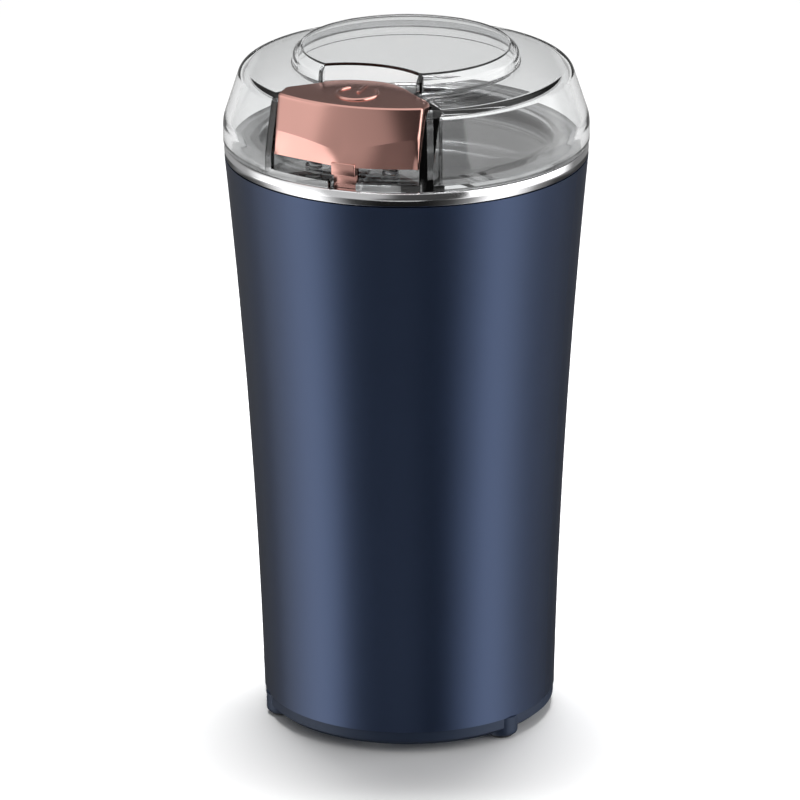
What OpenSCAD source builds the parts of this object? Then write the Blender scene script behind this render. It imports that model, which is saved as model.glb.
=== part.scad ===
// Electric spice grinder: a tapered painted body, a stepped steel bowl with a two-wing blade,
// and a clear lift-off lid that carries the press button.
// Millimetres. +Z is up, the table is z = 0, the button faces -Y and the cord leaves towards +Y.
// Places round the body are angles from -Y towards +X; "out" means away from the body's axis.

/* [Body] */
// Outer radius of the shell at its lower edge
shell_low_r = 38.65; // [37.8:0.05:40]
// Outer radius of the shell at its upper edge
shell_high_r = 47.4; // [47.2:0.1:49]
// Height of the seam between the base cover and the shell
seam_z = 6; // [5.5:0.1:8]
// Height of the shell from that seam to the rim ring
shell_h = 147.4; // [145:0.1:156]
// Wall thickness of the shell
shell_wall = 1.8; // [1.5:0.05:1.9]
// Share of the flare that is a straight cone; the rest grows with the square of the height
straight_flare_share = 0.41; // [0.35:0.01:0.6]

/* [Base] */
// Thickness of the base cover's floor
cover_floor_t = 2; // [1.6:0.1:3]
// Height of the feet under the base cover
foot_drop = 2.1; // [1.6:0.1:3]
// Radius of a foot
foot_r = 4.3; // [3.8:0.1:4.8]
// How far the feet's middles lie inside the shell's lower edge
foot_inset = 3.85; // [3.45:0.05:5.15]
// Turn of the ring of feet about the axis
foot_turn = 65.5; // [60:0.5:70]
// Number of air slots in the base cover
slot_count = 12; // [8:1:16]
// Height of the cord outlet above the table
outlet_z = 17; // [15.5:0.1:24]
// Radius of the hole in the cord gland
outlet_r = 2.75; // [2.25:0.05:3.2]

/* [Rim and bowl] */
// Height of the steel rim ring
ring_h = 3.8; // [3.4:0.1:4.6]
// How far the bowl's mouth lies inside the shell's upper edge
mouth_inset = 7; // [6.8:0.1:7.6]
// Depth of the bowl's wide mouth
mouth_depth = 14.2; // [13:0.1:15]
// Room left for the switch between the bowl and the outside of the shell
switch_room = 11.5; // [11.4:0.1:13]
// Depth of the bowl from its lip to its floor
bowl_depth = 43.4; // [40:0.1:46]
// Thickness of the bowl's steel
bowl_t = 0.8; // [0.6:0.05:0.9]

/* [Lid] */
// How far the lid stands out past the shell's upper edge
lid_overhang = 0.26; // [0.1:0.02:1.5]
// Height of the lid's upright band
lid_band_h = 5.66; // [5:0.1:7]
// Height of the lid up to its shoulder
lid_shoulder_h = 20.85; // [20:0.05:22]
// How far the lid draws in from its band to its shoulder
lid_slope = 3.9; // [3.2:0.02:4.7]
// Width of the ledge between the lid's shoulder and its raised round boss
lid_ledge = 14.2; // [12.5:0.1:15]
// Height of the boss above the shoulder
boss_h = 4.6; // [4.2:0.1:6]
// Wall thickness of the lid
lid_wall = 2.4; // [2:0.1:2.6]

/* [Button] */
// Half width of the button
button_half_w = 19.8; // [18:0.1:20.2]
// Length of the button's sides, from the lid's outside to their back corners
button_side_len = 13.66; // [12.7:0.02:14.7]
// Half width of the round lobe at the button's back
lobe_half_w = 13; // [12:0.1:14]
// How far the lobe's two ends lie behind those corners
lobe_set_back = 5.4; // [4:0.1:6]
// How far the lobe's crown lies behind its two ends
lobe_bow = 5.8; // [5:0.1:6.2]
// Height of the button's top above the lid's shoulder
button_rise = 1.4; // [1:0.1:2]
// Travel of the button
press_travel = 3.3; // [2.5:0.1:3.4]
// Wall thickness of the button
button_wall = 1.8; // [1.4:0.1:2.2]
// Width of the tongue under the button
tongue_w = 6.5; // [5:0.1:7]
// Sideways place of the tongue
tongue_side = 0.9; // [0:0.1:1]

/* [Blade] */
// Gap between the blade's tips and the bowl's wall
blade_tip_gap = 3.7; // [2.7:0.1:7]
// Width of the blade at its middle
blade_w = 13; // [11:0.1:15]
// Thickness of the blade
blade_t = 1.4; // [1:0.1:1.6]
// Height of the blade above the bowl's floor
blade_lift = 6.2; // [5.5:0.1:8]

/* [Motor] */
// Radius of the motor shaft
shaft_r = 3; // [2.5:0.05:3]
// Width of the square stator stack as a share of the shell's lower width
stator_share = 0.7762; // [0.75:0.0002:0.79]
// Height of the stator stack
stack_h = 20; // [18:0.5:22]
// Radius of the armature as a share of the bore inside the stator's yoke
armature_share = 0.584; // [0.54:0.001:0.584]
// Number of armature slots and commutator bars
slot_bars = 12; // [8:1:12]
// Radius of the commutator
commutator_r = 9; // [8:0.1:9.5]
// Height of the commutator
commutator_h = 12; // [11:0.5:13]
// Gap between the fan's tips and the long posts round it
fan_room = 4.6; // [3.6:0.1:8]
// Number of fan vanes
vane_count = 9; // [5:1:13]

/* [Switch] */
// Width of the switch body
switch_w = 14; // [12:0.1:14.4]
// Height of the switch body
switch_h = 8; // [7:0.1:9]
// Thickness of the switch body
switch_t = 5.6; // [5:0.1:5.7]

/* [Clearances] */
// Gap between fixed pieces that fit into each other
fit_gap = 0.05; // [0.02:0.01:0.08]
// Running gap between the shaft and its bearings
running_gap = 0.05; // [0.02:0.01:0.08]
// Gap at rest between pieces that move apart
rest_gap = 0.25; // [0.2:0.01:0.3]
// Gap between the button and its pocket
pocket_gap = 0.5; // [0.4:0.05:0.6]
// Gap round the bowl inside its carrier
carrier_gap = 0.3; // [0.2:0.01:0.3]

/* [Hidden] */
$fn = 96;
// How far a cut runs past the surface that it opens
cut = 1;

// Heights, from the table up
rim_z = seam_z + shell_h;
ring_top = rim_z + ring_h;
lid_z = ring_top + rest_gap;
shoulder_z = lid_z + lid_shoulder_h;
boss_top = shoulder_z + boss_h;

// Shell: the flare in steps, the rebate that holds the carrier, the screw posts
flare_steps = 22;
rebate_depth = 1.6;
rebate_lip = 1.1;
post_r = 3.8;
post_inset = 7.85;
post_over_screw = 7.6;
post_rib_t = 2.4;
post_turn = foot_turn - 60;

// Base cover
cover_bevel = 1.4;
cover_bevel_h = 1.2;
cover_round = 0.25;
spigot_h = 5;
spigot_t = 1.5;
tower_r = 4;
tower_h = 2.7;
slot_w = 2.2;
slot_near = 11;
slot_edge = 14.65;
foot_round = 1.3;
pad_r = 2.9;
pad_show = 0.5;
pad_t = 1.5;
screw_r = 1.5;
screw_len = 14;
screw_head_r = 2.7;
screw_head_h = 2;
screw_sink = 0.3;
cross_w = 0.8;
cross_len = 3.2;
cross_deep = 1;

// Cord gland
gland_neck_r = 4.4;
gland_collar_r = 6;
gland_collar_t = 1.6;
gland_tail = 5;

// Rim ring and bowl lip
ring_inset = 0.15;
ring_round = 0.5;
ring_wall = 4.2;
lip_w = 2.6;
lip_t = 0.8;
gasket_t = 1;
gasket_w = 1.5;
bowl_round = 4;
step_round = 1.5;

// Bowl carrier
carrier_wall = 1.6;
carrier_floor_t = 2;
carrier_seat = 0.5;
pillar_r = 4.5;
pillar_h = 7;
pillar_arm_w = 6;
pillar_inset = 8;
seal_r = 7.9;
seal_h = 3.4;
seal_cup_wall = 1.6;
seal_gap = 0.1;
floor_hole_r = 5;
switch_pad_w = 17;

// Motor, from the carrier down
damper_h = 3.5;
damper_r = 5;
bracket_t = 3;
bracket_arm_w = 9;
bracket_core_r = 13;
bracket_pad_r = 5;
bracket_post_r = 3.5;
long_screw_r = 2;
long_head_r = 3.4;
long_head_h = 2.6;
long_bite = 5;
bearing_r = 6.5;
bearing_h = 8;
bearing_cup_r = 8.5;
washer_r = 5.4;
washer_t = 0.8;
fan_h = 7;
fan_plate_t = 1.2;
fan_hub_r = 6;
vane_t = 1.1;
vane_bow_r = 14;
winding_h = 5;
winding_inset = 1.6;
winding_near = 4.6;
slot_hole_share = 0.6735;
slot_hole_deep = 3.7;
slot_mouth = 1.6;
air_gap = 0.5;
bar_gap = 0.6;
bar_deep = 1.2;
yoke_t = 5;
shoe_t = 3.1;
shoe_half_angle = 62;
neck_w = 18;
coil_half_angle = 56;
coil_gap = 0.3;
motor_gap = 1.5;
shaft_tail = 2;

// Brushes, in the holders' own width, height and length
brush_w = 6;
brush_h = 5;
brush_len = 11;
holder_wall = 1.4;
holder_gap = 0.1;
holder_len = 17;
holder_start = 1.3;
brush_gap = 0.1;
brush_spring_r = 1.9;
brush_spring_wire = 0.5;
brush_spring_turns = 4;

// Switch, its lever and the pin that the button's tongue presses
switch_drop = 20.6;
switch_screw_r = 0.95;
switch_screw_x = 4.6;
switch_screw_up = 2;
switch_head_r = 1.7;
switch_head_t = 0.7;
nub_r = 0.9;
nub_h = 0.5;
terminal_w = 3;
terminal_t = 0.5;
terminal_drop = 6;
terminal_pitch = 4.8;
lever_w = 4;
lever_t = 0.4;
lever_pivot_x = -6;
lever_reach = 11.6;
lever_pivot_r = 0.7;
lever_near = 1.2;
pin_w = 5.5;
pin_t = 1.75;
pin_head_h = 3.5;
pin_head_out = 1.45;
pin_foot_h = 1.5;
pin_foot_past = 0.65;
pin_side_gap = 0.3;

// Lid details
lid_edge_round = 3.3;
band_round = 9;
boss_round = 2.1;
shoulder_fall = 1.1;
bite_r = 22.5;
bite_deep = 9.6;
pocket_wall = 2.2;
pocket_floor_t = 2;
inner_plate_t = 1.6;
inner_plate_drop = 2;
inner_skirt_h = 7.4;
inner_skirt_t = 1.7;
inner_gap = 0.5;
inner_flange_t = 1.25;
peg_r = 1.5;
peg_h = 3;

// Button details
button_slope = 3.4;
button_inset = 0.26;
button_floor_gap = 3.8;
button_dome = 1;
button_edge = 0.7;
facet_in = 0.35;
facet_mid_h = 3.75;
facet_side_h = 7.05;
spring_side = 10.5;
spring_in = 4;
spring_r = 2.3;
spring_wire = 0.6;
spring_turns = 7;
tongue_t = 1.5;
tongue_upper_t = 3.2;
tongue_step_gap = 0.3;
tongue_root = 4;
tongue_bite = 1;
spring_seat = 0.1;

// Blade details
hub_r = 6;
hub_gap = 1.2;
nut_r = 5.6;
nut_h = 4;
nut_dome = 1.8;
blade_tip_rise = 6;
blade_bend_share = 0.55;
blade_tip_share = 0.55;
blade_skew = 8;

// Widths worked out from the sizes above, from the outside in
foot_ring_r = shell_low_r - foot_inset;
post_ring_r = shell_low_r - post_inset;
slot_far = shell_low_r - slot_edge;
mouth_r = shell_high_r - mouth_inset;
lid_r = shell_high_r + lid_overhang;
lid_shoulder_r = lid_r - lid_slope;
boss_r = lid_shoulder_r - lid_ledge;
bite_crown_v = boss_r - bite_deep;
button_low_r = lid_r - button_inset;
button_front_r = button_low_r - button_slope;
button_tip_v = lid_r - button_side_len;
lobe_end_v = button_tip_v - lobe_set_back;
lobe_crown_v = lobe_end_v - lobe_bow;
spring_v = button_tip_v + spring_in;
stator_w = 2 * shell_low_r * stator_share;
stator_corner = stator_w / 4;
yoke_r = stator_w / 2 - yoke_t;
pillar_offset = stator_w / 2 - pillar_inset;
armature_r = yoke_r * armature_share;
winding_r = armature_r - winding_inset;
slot_hole_ring = armature_r - slot_hole_deep;
slot_hole_r = slot_hole_ring * sin(180 / slot_bars) * slot_hole_share;
fan_r = pillar_offset * sqrt(2) - bracket_post_r - fan_room;

// Places worked out from the sizes above
cover_low_z = foot_drop;
cover_top_z = cover_low_z + cover_floor_t;
post_top = cover_low_z + screw_sink + screw_len + post_over_screw;
rebate_r = shell_high_r - rebate_lip;
bowl_floor_z = ring_top - bowl_depth;
step_z = ring_top - mouth_depth;
switch_floor_z = step_z - switch_drop;
bowl_r = flare_r(switch_floor_z) - switch_room;
blade_r = bowl_r - blade_tip_gap;
bowl_out = bowl_r + bowl_t;
mouth_out = mouth_r + bowl_t;
lip_r = mouth_r + lip_w;
ring_in = shell_high_r - ring_wall;
carrier_top = ring_top - lip_t - gasket_t;
carrier_floor_z = bowl_floor_z - bowl_t - carrier_seat - carrier_floor_t;
pillar_low = carrier_floor_z - pillar_h;
top_bracket_z = pillar_low - damper_h - bracket_t;
upper_bearing_z = top_bracket_z + bracket_t - bearing_h;
fan_z = upper_bearing_z - 2 * washer_t - motor_gap - fan_h;
stack_top = fan_z - motor_gap - winding_h;
stack_z = stack_top - stack_h;
commutator_z = stack_z - winding_h - motor_gap - commutator_h;
bottom_bracket_z = commutator_z - motor_gap - bracket_t;
lower_bearing_z = bottom_bracket_z + bracket_t - bearing_h;
shaft_low = lower_bearing_z - shaft_tail;
blade_z = bowl_floor_z + blade_lift;
shaft_top = blade_z + blade_t + nut_h;
bore_r = armature_r + air_gap;
switch_v = bowl_out + carrier_gap + carrier_wall + fit_gap;
pin_v = mouth_out + carrier_gap;
pin_foot_in = pin_v - switch_v - switch_t / 2 + pin_foot_past;
pin_top = rim_z + fit_gap;
pivot_z = switch_floor_z + switch_h + lever_near;
pin_low = pivot_z + press_travel + 2 * lever_t + fit_gap;
pocket_floor_top = lid_z + pocket_floor_t;
button_low = pocket_floor_top + button_floor_gap;
button_top = shoulder_z + button_rise;
lever_angle = atan(press_travel / (tongue_side + pin_w / 2 - lever_pivot_x));
tongue_v = ring_in + fit_gap + carrier_gap;
spring_len = button_top - button_dome - button_wall - pocket_floor_top - 2 * spring_seat;

// Radius of the shell's outside at height z: a cone plus a term in the square of the height
function flare_r(z) =
    let (t = (z - seam_z) / shell_h, flare = straight_flare_share * t + (1 - straight_flare_share) * t * t)
    shell_low_r + (shell_high_r - shell_low_r) * flare;

// Points along an arc about [x, y], from angle a to angle b
function arc(x, y, r, a, b, n = 6) =
    [for (i = [0:n]) let (t = a + (b - a) * i / n) [x + r * cos(t), y + r * sin(t)]];

// Turns what follows to an angle from -Y towards +X, so that -Y becomes "out" there
module at_angle(a) {
    rotate([0, 0, a])
    children();
}

// A tube from height z to z + h
module tube(r, inner, z, h) {
    translate([0, 0, z])
    difference() {
        cylinder(r = r, h = h);
        translate([0, 0, -cut])
        cylinder(r = inner, h = h + 2 * cut);
    }
}

// A block given by its low corner and its high corner
module block(low, high) {
    translate(low)
    cube(high - low);
}

// The shell's side as seen in section, from its lower edge to its upper one
function shell_side(inset) =
    [for (i = [0:flare_steps]) let (z = seam_z + shell_h * i / flare_steps) [flare_r(z) - inset, z]];

function reversed(list) = [for (i = [len(list) - 1:-1:0]) list[i]];

// Body shell

module shell_posts() {
    for (i = [0:2])
        at_angle(post_turn + 120 * i) {
            translate([0, -post_ring_r, cover_top_z + tower_h])
            cylinder(r = post_r, h = post_top - cover_top_z - tower_h);
            block([-post_rib_t / 2, -flare_r(post_top) + shell_wall / 2, seam_z + spigot_h + fit_gap],
                [post_rib_t / 2, -post_ring_r, post_top]);
        }
}

module body_shell() {
    color("#27364f")
    difference() {
        union() {
            difference() {
                rotate_extrude()
                polygon(concat(shell_side(0), reversed(shell_side(shell_wall))));
                translate([0, 0, rim_z - rebate_depth])
                cylinder(r = rebate_r, h = rebate_depth + cut);
            }
            intersection() {
                shell_posts();
                rotate_extrude()
                polygon(concat([[0, seam_z]], shell_side(shell_wall / 2), [[0, rim_z]]));
            }
        }
        for (i = [0:2])
            at_angle(post_turn + 120 * i)
            translate([0, -post_ring_r, cover_top_z])
            cylinder(r = screw_r + fit_gap, h = screw_len);
        translate([0, 0, outlet_z])
        rotate([-90, 0, 0])
        cylinder(r = gland_neck_r + fit_gap, h = 2 * shell_high_r);
    }
}

// Base cover with its three moulded feet

module foot() {
    rotate_extrude()
    polygon(concat([[0, pad_show]], arc(foot_r - foot_round, pad_show + foot_round, foot_round, -90, 0),
        [[foot_r, seam_z - fit_gap], [0, seam_z - fit_gap]]));
}

module base_cover() {
    top = cover_low_z + cover_floor_t;
    spigot_r = shell_low_r - shell_wall - fit_gap;
    color("#223049")
    difference() {
        union() {
            rotate_extrude()
            polygon([[0, cover_low_z], [shell_low_r - cover_round - cover_bevel, cover_low_z],
                [shell_low_r - cover_round, cover_low_z + cover_bevel_h], [shell_low_r - cover_round, seam_z],
                [spigot_r, seam_z], [spigot_r, seam_z + spigot_h], [spigot_r - spigot_t, seam_z + spigot_h],
                [spigot_r - spigot_t, top], [0, top]]);
            for (i = [0:2]) {
                at_angle(foot_turn + 120 * i)
                translate([0, -foot_ring_r, 0])
                foot();
                at_angle(post_turn + 120 * i)
                translate([0, -post_ring_r, cover_low_z + cover_floor_t / 2])
                cylinder(r = tower_r, h = cover_floor_t / 2 + tower_h);
            }
        }
        for (i = [0:2]) {
            at_angle(foot_turn + 120 * i)
            translate([0, -foot_ring_r, pad_show - cut])
            cylinder(r = pad_r + fit_gap, h = pad_t - pad_show + cut);
            at_angle(post_turn + 120 * i)
            translate([0, -post_ring_r, cover_low_z - cut]) {
                cylinder(r = screw_r + fit_gap, h = cover_floor_t + tower_h + 2 * cut);
                cylinder(r = screw_head_r + fit_gap, h = cut + screw_sink + screw_head_h);
            }
        }
        air_slots();
    }
}

module air_slots() {
    for (i = [0:slot_count - 1])
        rotate([0, 0, 360 * (i + 1 / 2) / slot_count])
        translate([0, 0, cover_low_z - cut])
        linear_extrude(cover_floor_t + 2 * cut) {
            translate([slot_near, -slot_w / 2])
            square([slot_far - slot_near, slot_w]);
            for (x = [slot_near, slot_far])
                translate([x, 0])
                circle(r = slot_w / 2, $fn = 24);
        }
}

module foot_pads() {
    color("#3a3d42")
    for (i = [0:2])
        at_angle(foot_turn + 120 * i)
        translate([0, -foot_ring_r, 0])
        cylinder(r = pad_r, h = pad_t);
}

// A screw with a crossed head, its head down at z = 0 and its shank up
module screw(r, len, head_r, head_h) {
    difference() {
        union() {
            cylinder(r = head_r, h = head_h, $fn = 48);
            cylinder(r = r, h = len, $fn = 48);
        }
        for (a = [0, 90])
            rotate([0, 0, a])
            block([-cross_len / 2, -cross_w / 2, -cut], [cross_len / 2, cross_w / 2, cross_deep]);
    }
}

module base_screws() {
    color("#b8bcc2")
    for (i = [0:2])
        at_angle(post_turn + 120 * i)
        translate([0, -post_ring_r, cover_low_z + screw_sink])
        screw(screw_r, screw_len, screw_head_r, screw_head_h);
}

module cord_gland() {
    outside = flare_r(outlet_z + gland_collar_r);
    inside = sqrt(pow(flare_r(outlet_z - gland_collar_r) - shell_wall, 2) - pow(gland_collar_r, 2)) - fit_gap;
    color("#202124")
    translate([0, 0, outlet_z])
    rotate([-90, 0, 0])
    difference() {
        union() {
            translate([0, 0, inside - gland_collar_t - gland_tail])
            cylinder(r = gland_neck_r, h = outside - inside + 2 * gland_collar_t + gland_tail + fit_gap);
            translate([0, 0, inside - gland_collar_t])
            cylinder(r = gland_collar_r, h = gland_collar_t);
            translate([0, 0, outside + fit_gap])
            cylinder(r = gland_collar_r, h = gland_collar_t);
        }
        translate([0, 0, inside - gland_collar_t - gland_tail - cut])
        cylinder(r = outlet_r, h = shell_high_r);
    }
}

// Rim ring, bowl and the carrier that holds them

module rim_ring() {
    r = shell_high_r;
    color("#d9dbdd")
    difference() {
        rotate_extrude()
        polygon([[ring_in, rim_z], [r, rim_z], [r + ring_inset / 2, rim_z + ring_h / 2],
            [r - ring_inset, ring_top - ring_round], [r - ring_inset - ring_round, ring_top],
            [ring_in, ring_top]]);
        block([tongue_side - tongue_w / 2 - pocket_gap, -tongue_v - tongue_t - rest_gap, rim_z - cut],
            [tongue_side + tongue_w / 2 + pocket_gap, -ring_in + cut, ring_top + cut]);
    }
}

module grinding_bowl() {
    low = bowl_floor_z - bowl_t;
    color("#c9ccce")
    rotate_extrude()
    polygon(concat(
        [[floor_hole_r, low]],
        arc(bowl_out - bowl_round - bowl_t, low + bowl_round + bowl_t, bowl_round + bowl_t, -90, 0),
        [[bowl_out, step_z - bowl_t], [mouth_out, step_z - bowl_t], [mouth_out, ring_top - lip_t],
            [lip_r, ring_top - lip_t], [lip_r, ring_top], [mouth_r, ring_top]],
        arc(mouth_r - step_round, step_z + step_round, step_round, 0, -90),
        [[bowl_r, step_z]],
        arc(bowl_r - bowl_round, bowl_floor_z + bowl_round, bowl_round, 0, -90),
        [[floor_hole_r, bowl_floor_z]]));
}

module bowl_gasket() {
    color("#8f9398")
    tube(mouth_out + carrier_gap + gasket_w, mouth_out + carrier_gap / 2, carrier_top, gasket_t);
}

module carrier_body() {
    wall_in = bowl_out + carrier_gap;
    top_in = mouth_out + carrier_gap;
    seat_z = step_z - bowl_t - carrier_seat;
    cup_r = seal_r + fit_gap + seal_cup_wall;
    rotate_extrude()
    polygon([[seal_r + fit_gap, carrier_floor_z], [wall_in + carrier_wall, carrier_floor_z],
        [wall_in + carrier_wall, seat_z - carrier_floor_t], [top_in + carrier_wall, seat_z - carrier_floor_t],
        [top_in + carrier_wall, rim_z - rebate_depth], [rebate_r - fit_gap, rim_z - rebate_depth],
        [rebate_r - fit_gap, rim_z], [top_in + carrier_wall, rim_z], [top_in + carrier_wall, carrier_top],
        [top_in, carrier_top], [top_in, seat_z], [wall_in, seat_z],
        [wall_in, carrier_floor_z + carrier_floor_t], [seal_r + fit_gap, carrier_floor_z + carrier_floor_t]]);
    tube(cup_r, floor_hole_r, carrier_floor_z - seal_cup_wall, seal_cup_wall);
    tube(cup_r, seal_r + fit_gap, carrier_floor_z - seal_cup_wall, seal_cup_wall + carrier_floor_t);
    for (x = [-1, 1])
        for (y = [-1, 1])
            translate([x * pillar_offset, y * pillar_offset, pillar_low])
            cylinder(r = pillar_r, h = pillar_h + carrier_floor_t);
    for (a = [45:90:315])
        rotate([0, 0, a])
        block([bowl_r / 2, -pillar_arm_w / 2, carrier_floor_z],
            [pillar_offset * sqrt(2), pillar_arm_w / 2, carrier_floor_z + carrier_floor_t]);
}

module bowl_carrier() {
    color("#33363b")
    difference() {
        union() {
            carrier_body();
            difference() {
                block([-switch_pad_w / 2, -switch_v + fit_gap, switch_floor_z],
                    [switch_pad_w / 2, 0, switch_floor_z + switch_h]);
                translate([0, 0, switch_floor_z - cut])
                cylinder(r = bowl_out + carrier_gap, h = switch_h + 2 * cut);
            }
        }
        for (x = [-1, 1])
            for (y = [-1, 1])
                translate([x * pillar_offset, y * pillar_offset, pillar_low - cut])
                cylinder(r = long_screw_r + fit_gap, h = long_bite + fit_gap + cut);
        for (x = [-1, 1])
            translate([x * switch_screw_x, 0, switch_floor_z + switch_screw_up])
            rotate([90, 0, 0])
            cylinder(r = switch_screw_r + fit_gap, h = rebate_r);
        block([tongue_side - pin_w / 2 - pin_side_gap, -rebate_r - cut, step_z - 2 * carrier_floor_t],
            [tongue_side + pin_w / 2 + pin_side_gap, -pin_v + pin_side_gap, pin_top + pin_side_gap]);
        block([tongue_side - tongue_w / 2 - pocket_gap, -rebate_r - cut, rim_z - rebate_depth - cut],
            [tongue_side + tongue_w / 2 + pocket_gap, -tongue_v + rest_gap, rim_z + cut]);
    }
}

module shaft_seal() {
    color("#2b2d30")
    tube(seal_r, shaft_r + seal_gap, carrier_floor_z, seal_h - seal_cup_wall);
}

// Motor: two brackets with sleeve bearings, a wound stator and the brushes

module upper_bearing() {
    color("#b08d57")
    tube(bearing_r, shaft_r + running_gap, upper_bearing_z, bearing_h);
}

module lower_bearing() {
    color("#b08d57")
    tube(bearing_r, shaft_r + running_gap, lower_bearing_z, bearing_h);
}

// A cross-shaped plate from z upwards, with a cup of cup_h for the bearing and posts at its corners
module bracket(z, post_low, post_h, cup_z) {
    difference() {
        union() {
            translate([0, 0, z])
            linear_extrude(bracket_t) {
                circle(r = bracket_core_r);
                for (a = [45, 135])
                    rotate([0, 0, a])
                    square([2 * sqrt(2) * pillar_offset, bracket_arm_w], center = true);
                for (x = [-1, 1])
                    for (y = [-1, 1])
                        translate([x * pillar_offset, y * pillar_offset])
                        circle(r = bracket_pad_r, $fn = 48);
            }
            for (x = [-1, 1])
                for (y = [-1, 1])
                    translate([x * pillar_offset, y * pillar_offset, post_low])
                    cylinder(r = bracket_post_r, h = post_h, $fn = 48);
            translate([0, 0, cup_z])
            cylinder(r = bearing_cup_r, h = z + bracket_t - cup_z);
        }
        translate([0, 0, cup_z - cut])
        cylinder(r = bearing_r + fit_gap, h = bearing_h + 2 * cut);
        for (x = [-1, 1])
            for (y = [-1, 1])
                translate([x * pillar_offset, y * pillar_offset, min(z, post_low) - cut])
                cylinder(r = long_screw_r + fit_gap, h = post_h + bracket_t + 2 * cut, $fn = 48);
    }
}

module motor_top_bracket() {
    color("#9aa0a6")
    bracket(top_bracket_z, stack_top, top_bracket_z - stack_top, upper_bearing_z);
}

module motor_bottom_bracket() {
    top = bottom_bracket_z + bracket_t;
    color("#9aa0a6")
    bracket(bottom_bracket_z, top, stack_z - top, lower_bearing_z);
}

// A ring sector between two radii, centred on the angle "middle"
module sector(r, inner, half_angle, middle) {
    polygon(concat(arc(0, 0, r, middle - half_angle, middle + half_angle, 16),
        arc(0, 0, inner, middle + half_angle, middle - half_angle, 16)));
}

module stator_core() {
    side = stator_w / 2 - stator_corner;
    color("#6d7278")
    translate([0, 0, stack_z])
    linear_extrude(stack_h)
    difference() {
        union() {
            difference() {
                union() {
                    square([stator_w, 2 * side], center = true);
                    square([2 * side, stator_w], center = true);
                    for (x = [-1, 1])
                        for (y = [-1, 1])
                            translate([x * side, y * side])
                            circle(r = stator_corner);
                }
                circle(r = yoke_r);
            }
            for (a = [90, 270]) {
                sector(bore_r + shoe_t, bore_r, shoe_half_angle, a);
                rotate([0, 0, a])
                translate([bore_r + shoe_t / 2, -neck_w / 2])
                square([yoke_r - bore_r, neck_w]);
            }
        }
        for (x = [-1, 1])
            for (y = [-1, 1])
                translate([x * pillar_offset, y * pillar_offset])
                circle(r = long_screw_r + fit_gap, $fn = 48);
    }
}

module field_coils() {
    color("#b5622d")
    for (a = [90, 270])
        difference() {
            translate([0, 0, stack_z - winding_h])
            linear_extrude(stack_h + 2 * winding_h)
            sector(yoke_r - coil_gap, bore_r + shoe_t + coil_gap, coil_half_angle, a);
            rotate([0, 0, a])
            block([0, -neck_w / 2 - coil_gap, stack_z - coil_gap],
                [yoke_r + cut, neck_w / 2 + coil_gap, stack_top + coil_gap]);
        }
}

// Puts what follows on both sides of the commutator, with +X pointing away from the shaft
module both_brushes() {
    for (a = [0, 180])
        translate([0, 0, commutator_z + commutator_h / 2])
        rotate([0, 0, a])
        children();
}

module brush_holders() {
    half_w = brush_w / 2 + holder_gap;
    half_h = brush_h / 2 + holder_gap;
    start = commutator_r + holder_start;
    foot_z = bottom_bracket_z + bracket_t - commutator_z - commutator_h / 2;
    color("#c9a24b")
    both_brushes()
    difference() {
        union() {
            block([start, -half_w - holder_wall, -half_h - holder_wall],
                [start + holder_len, half_w + holder_wall, half_h + holder_wall]);
            block([start, -half_w - holder_wall, foot_z], [start + holder_len / 4, half_w + holder_wall, 0]);
        }
        block([start - cut, -half_w, -half_h], [start + holder_len - holder_wall, half_w, half_h]);
    }
}

module carbon_brushes() {
    color("#2e2e30")
    both_brushes()
    block([commutator_r + brush_gap, -brush_w / 2, -brush_h / 2],
        [commutator_r + brush_gap + brush_len, brush_w / 2, brush_h / 2]);
}

// A round wire wound as a helix of pitch len / turns along +Z, its ends cut square across
function coil_points(r, wire, len, turns, sides, steps) =
    [for (i = [0:turns * steps]) for (j = [0:sides - 1])
        let (a = 360 * i / steps, b = 360 * j / sides, rr = r + wire / 2 * cos(b))
        [rr * cos(a), rr * sin(a), wire / 2 + (len - wire) * i / (turns * steps) + wire / 2 * sin(b)]];

module spring(r, wire, len, turns, sides = 6, steps = 12) {
    rings = turns * steps;
    side_faces = [for (i = [0:rings - 1]) for (j = [0:sides - 1])
        let (k = (j + 1) % sides, p = i * sides, q = p + sides)
        each [[p + j, q + k, p + k], [p + j, q + j, q + k]]];
    first = [[for (j = [0:sides - 1]) j]];
    last = [[for (j = [sides - 1:-1:0]) rings * sides + j]];
    points = coil_points(r, wire, len, turns, sides, steps);
    polyhedron(points, concat(side_faces, first, last), convexity = 10);
}

module brush_springs() {
    start = commutator_r + brush_gap + brush_len;
    end = commutator_r + holder_start + holder_len - holder_wall;
    color("#c8ccd0")
    both_brushes()
    translate([start, 0, 0])
    rotate([0, 90, 0])
    spring(brush_spring_r, brush_spring_wire, end - start, brush_spring_turns);
}

module motor_screws() {
    low = bottom_bracket_z - long_head_h;
    color("#b8bcc2")
    for (x = [-1, 1])
        for (y = [-1, 1])
            translate([x * pillar_offset, y * pillar_offset, low])
            screw(long_screw_r, pillar_low + long_bite - low, long_head_r, long_head_h);
}

module motor_dampers() {
    color("#26282b")
    for (x = [-1, 1])
        for (y = [-1, 1])
            translate([x * pillar_offset, y * pillar_offset, 0])
            tube(damper_r, long_screw_r + fit_gap, top_bracket_z + bracket_t, damper_h);
}

// Rotor: everything that turns on the motor shaft

module motor_shaft() {
    color("#c4c8cc")
    translate([0, 0, shaft_low])
    cylinder(r = shaft_r, h = shaft_top - shaft_low);
}

module armature_core() {
    color("#7b8086")
    translate([0, 0, stack_z])
    linear_extrude(stack_h)
    difference() {
        circle(r = armature_r);
        circle(r = shaft_r + fit_gap);
        for (i = [0:slot_bars - 1])
            rotate([0, 0, 360 * i / slot_bars]) {
                translate([slot_hole_ring, 0])
                circle(r = slot_hole_r, $fn = 24);
                translate([slot_hole_ring, -slot_mouth / 2])
                square([armature_r, slot_mouth]);
            }
    }
}

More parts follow.
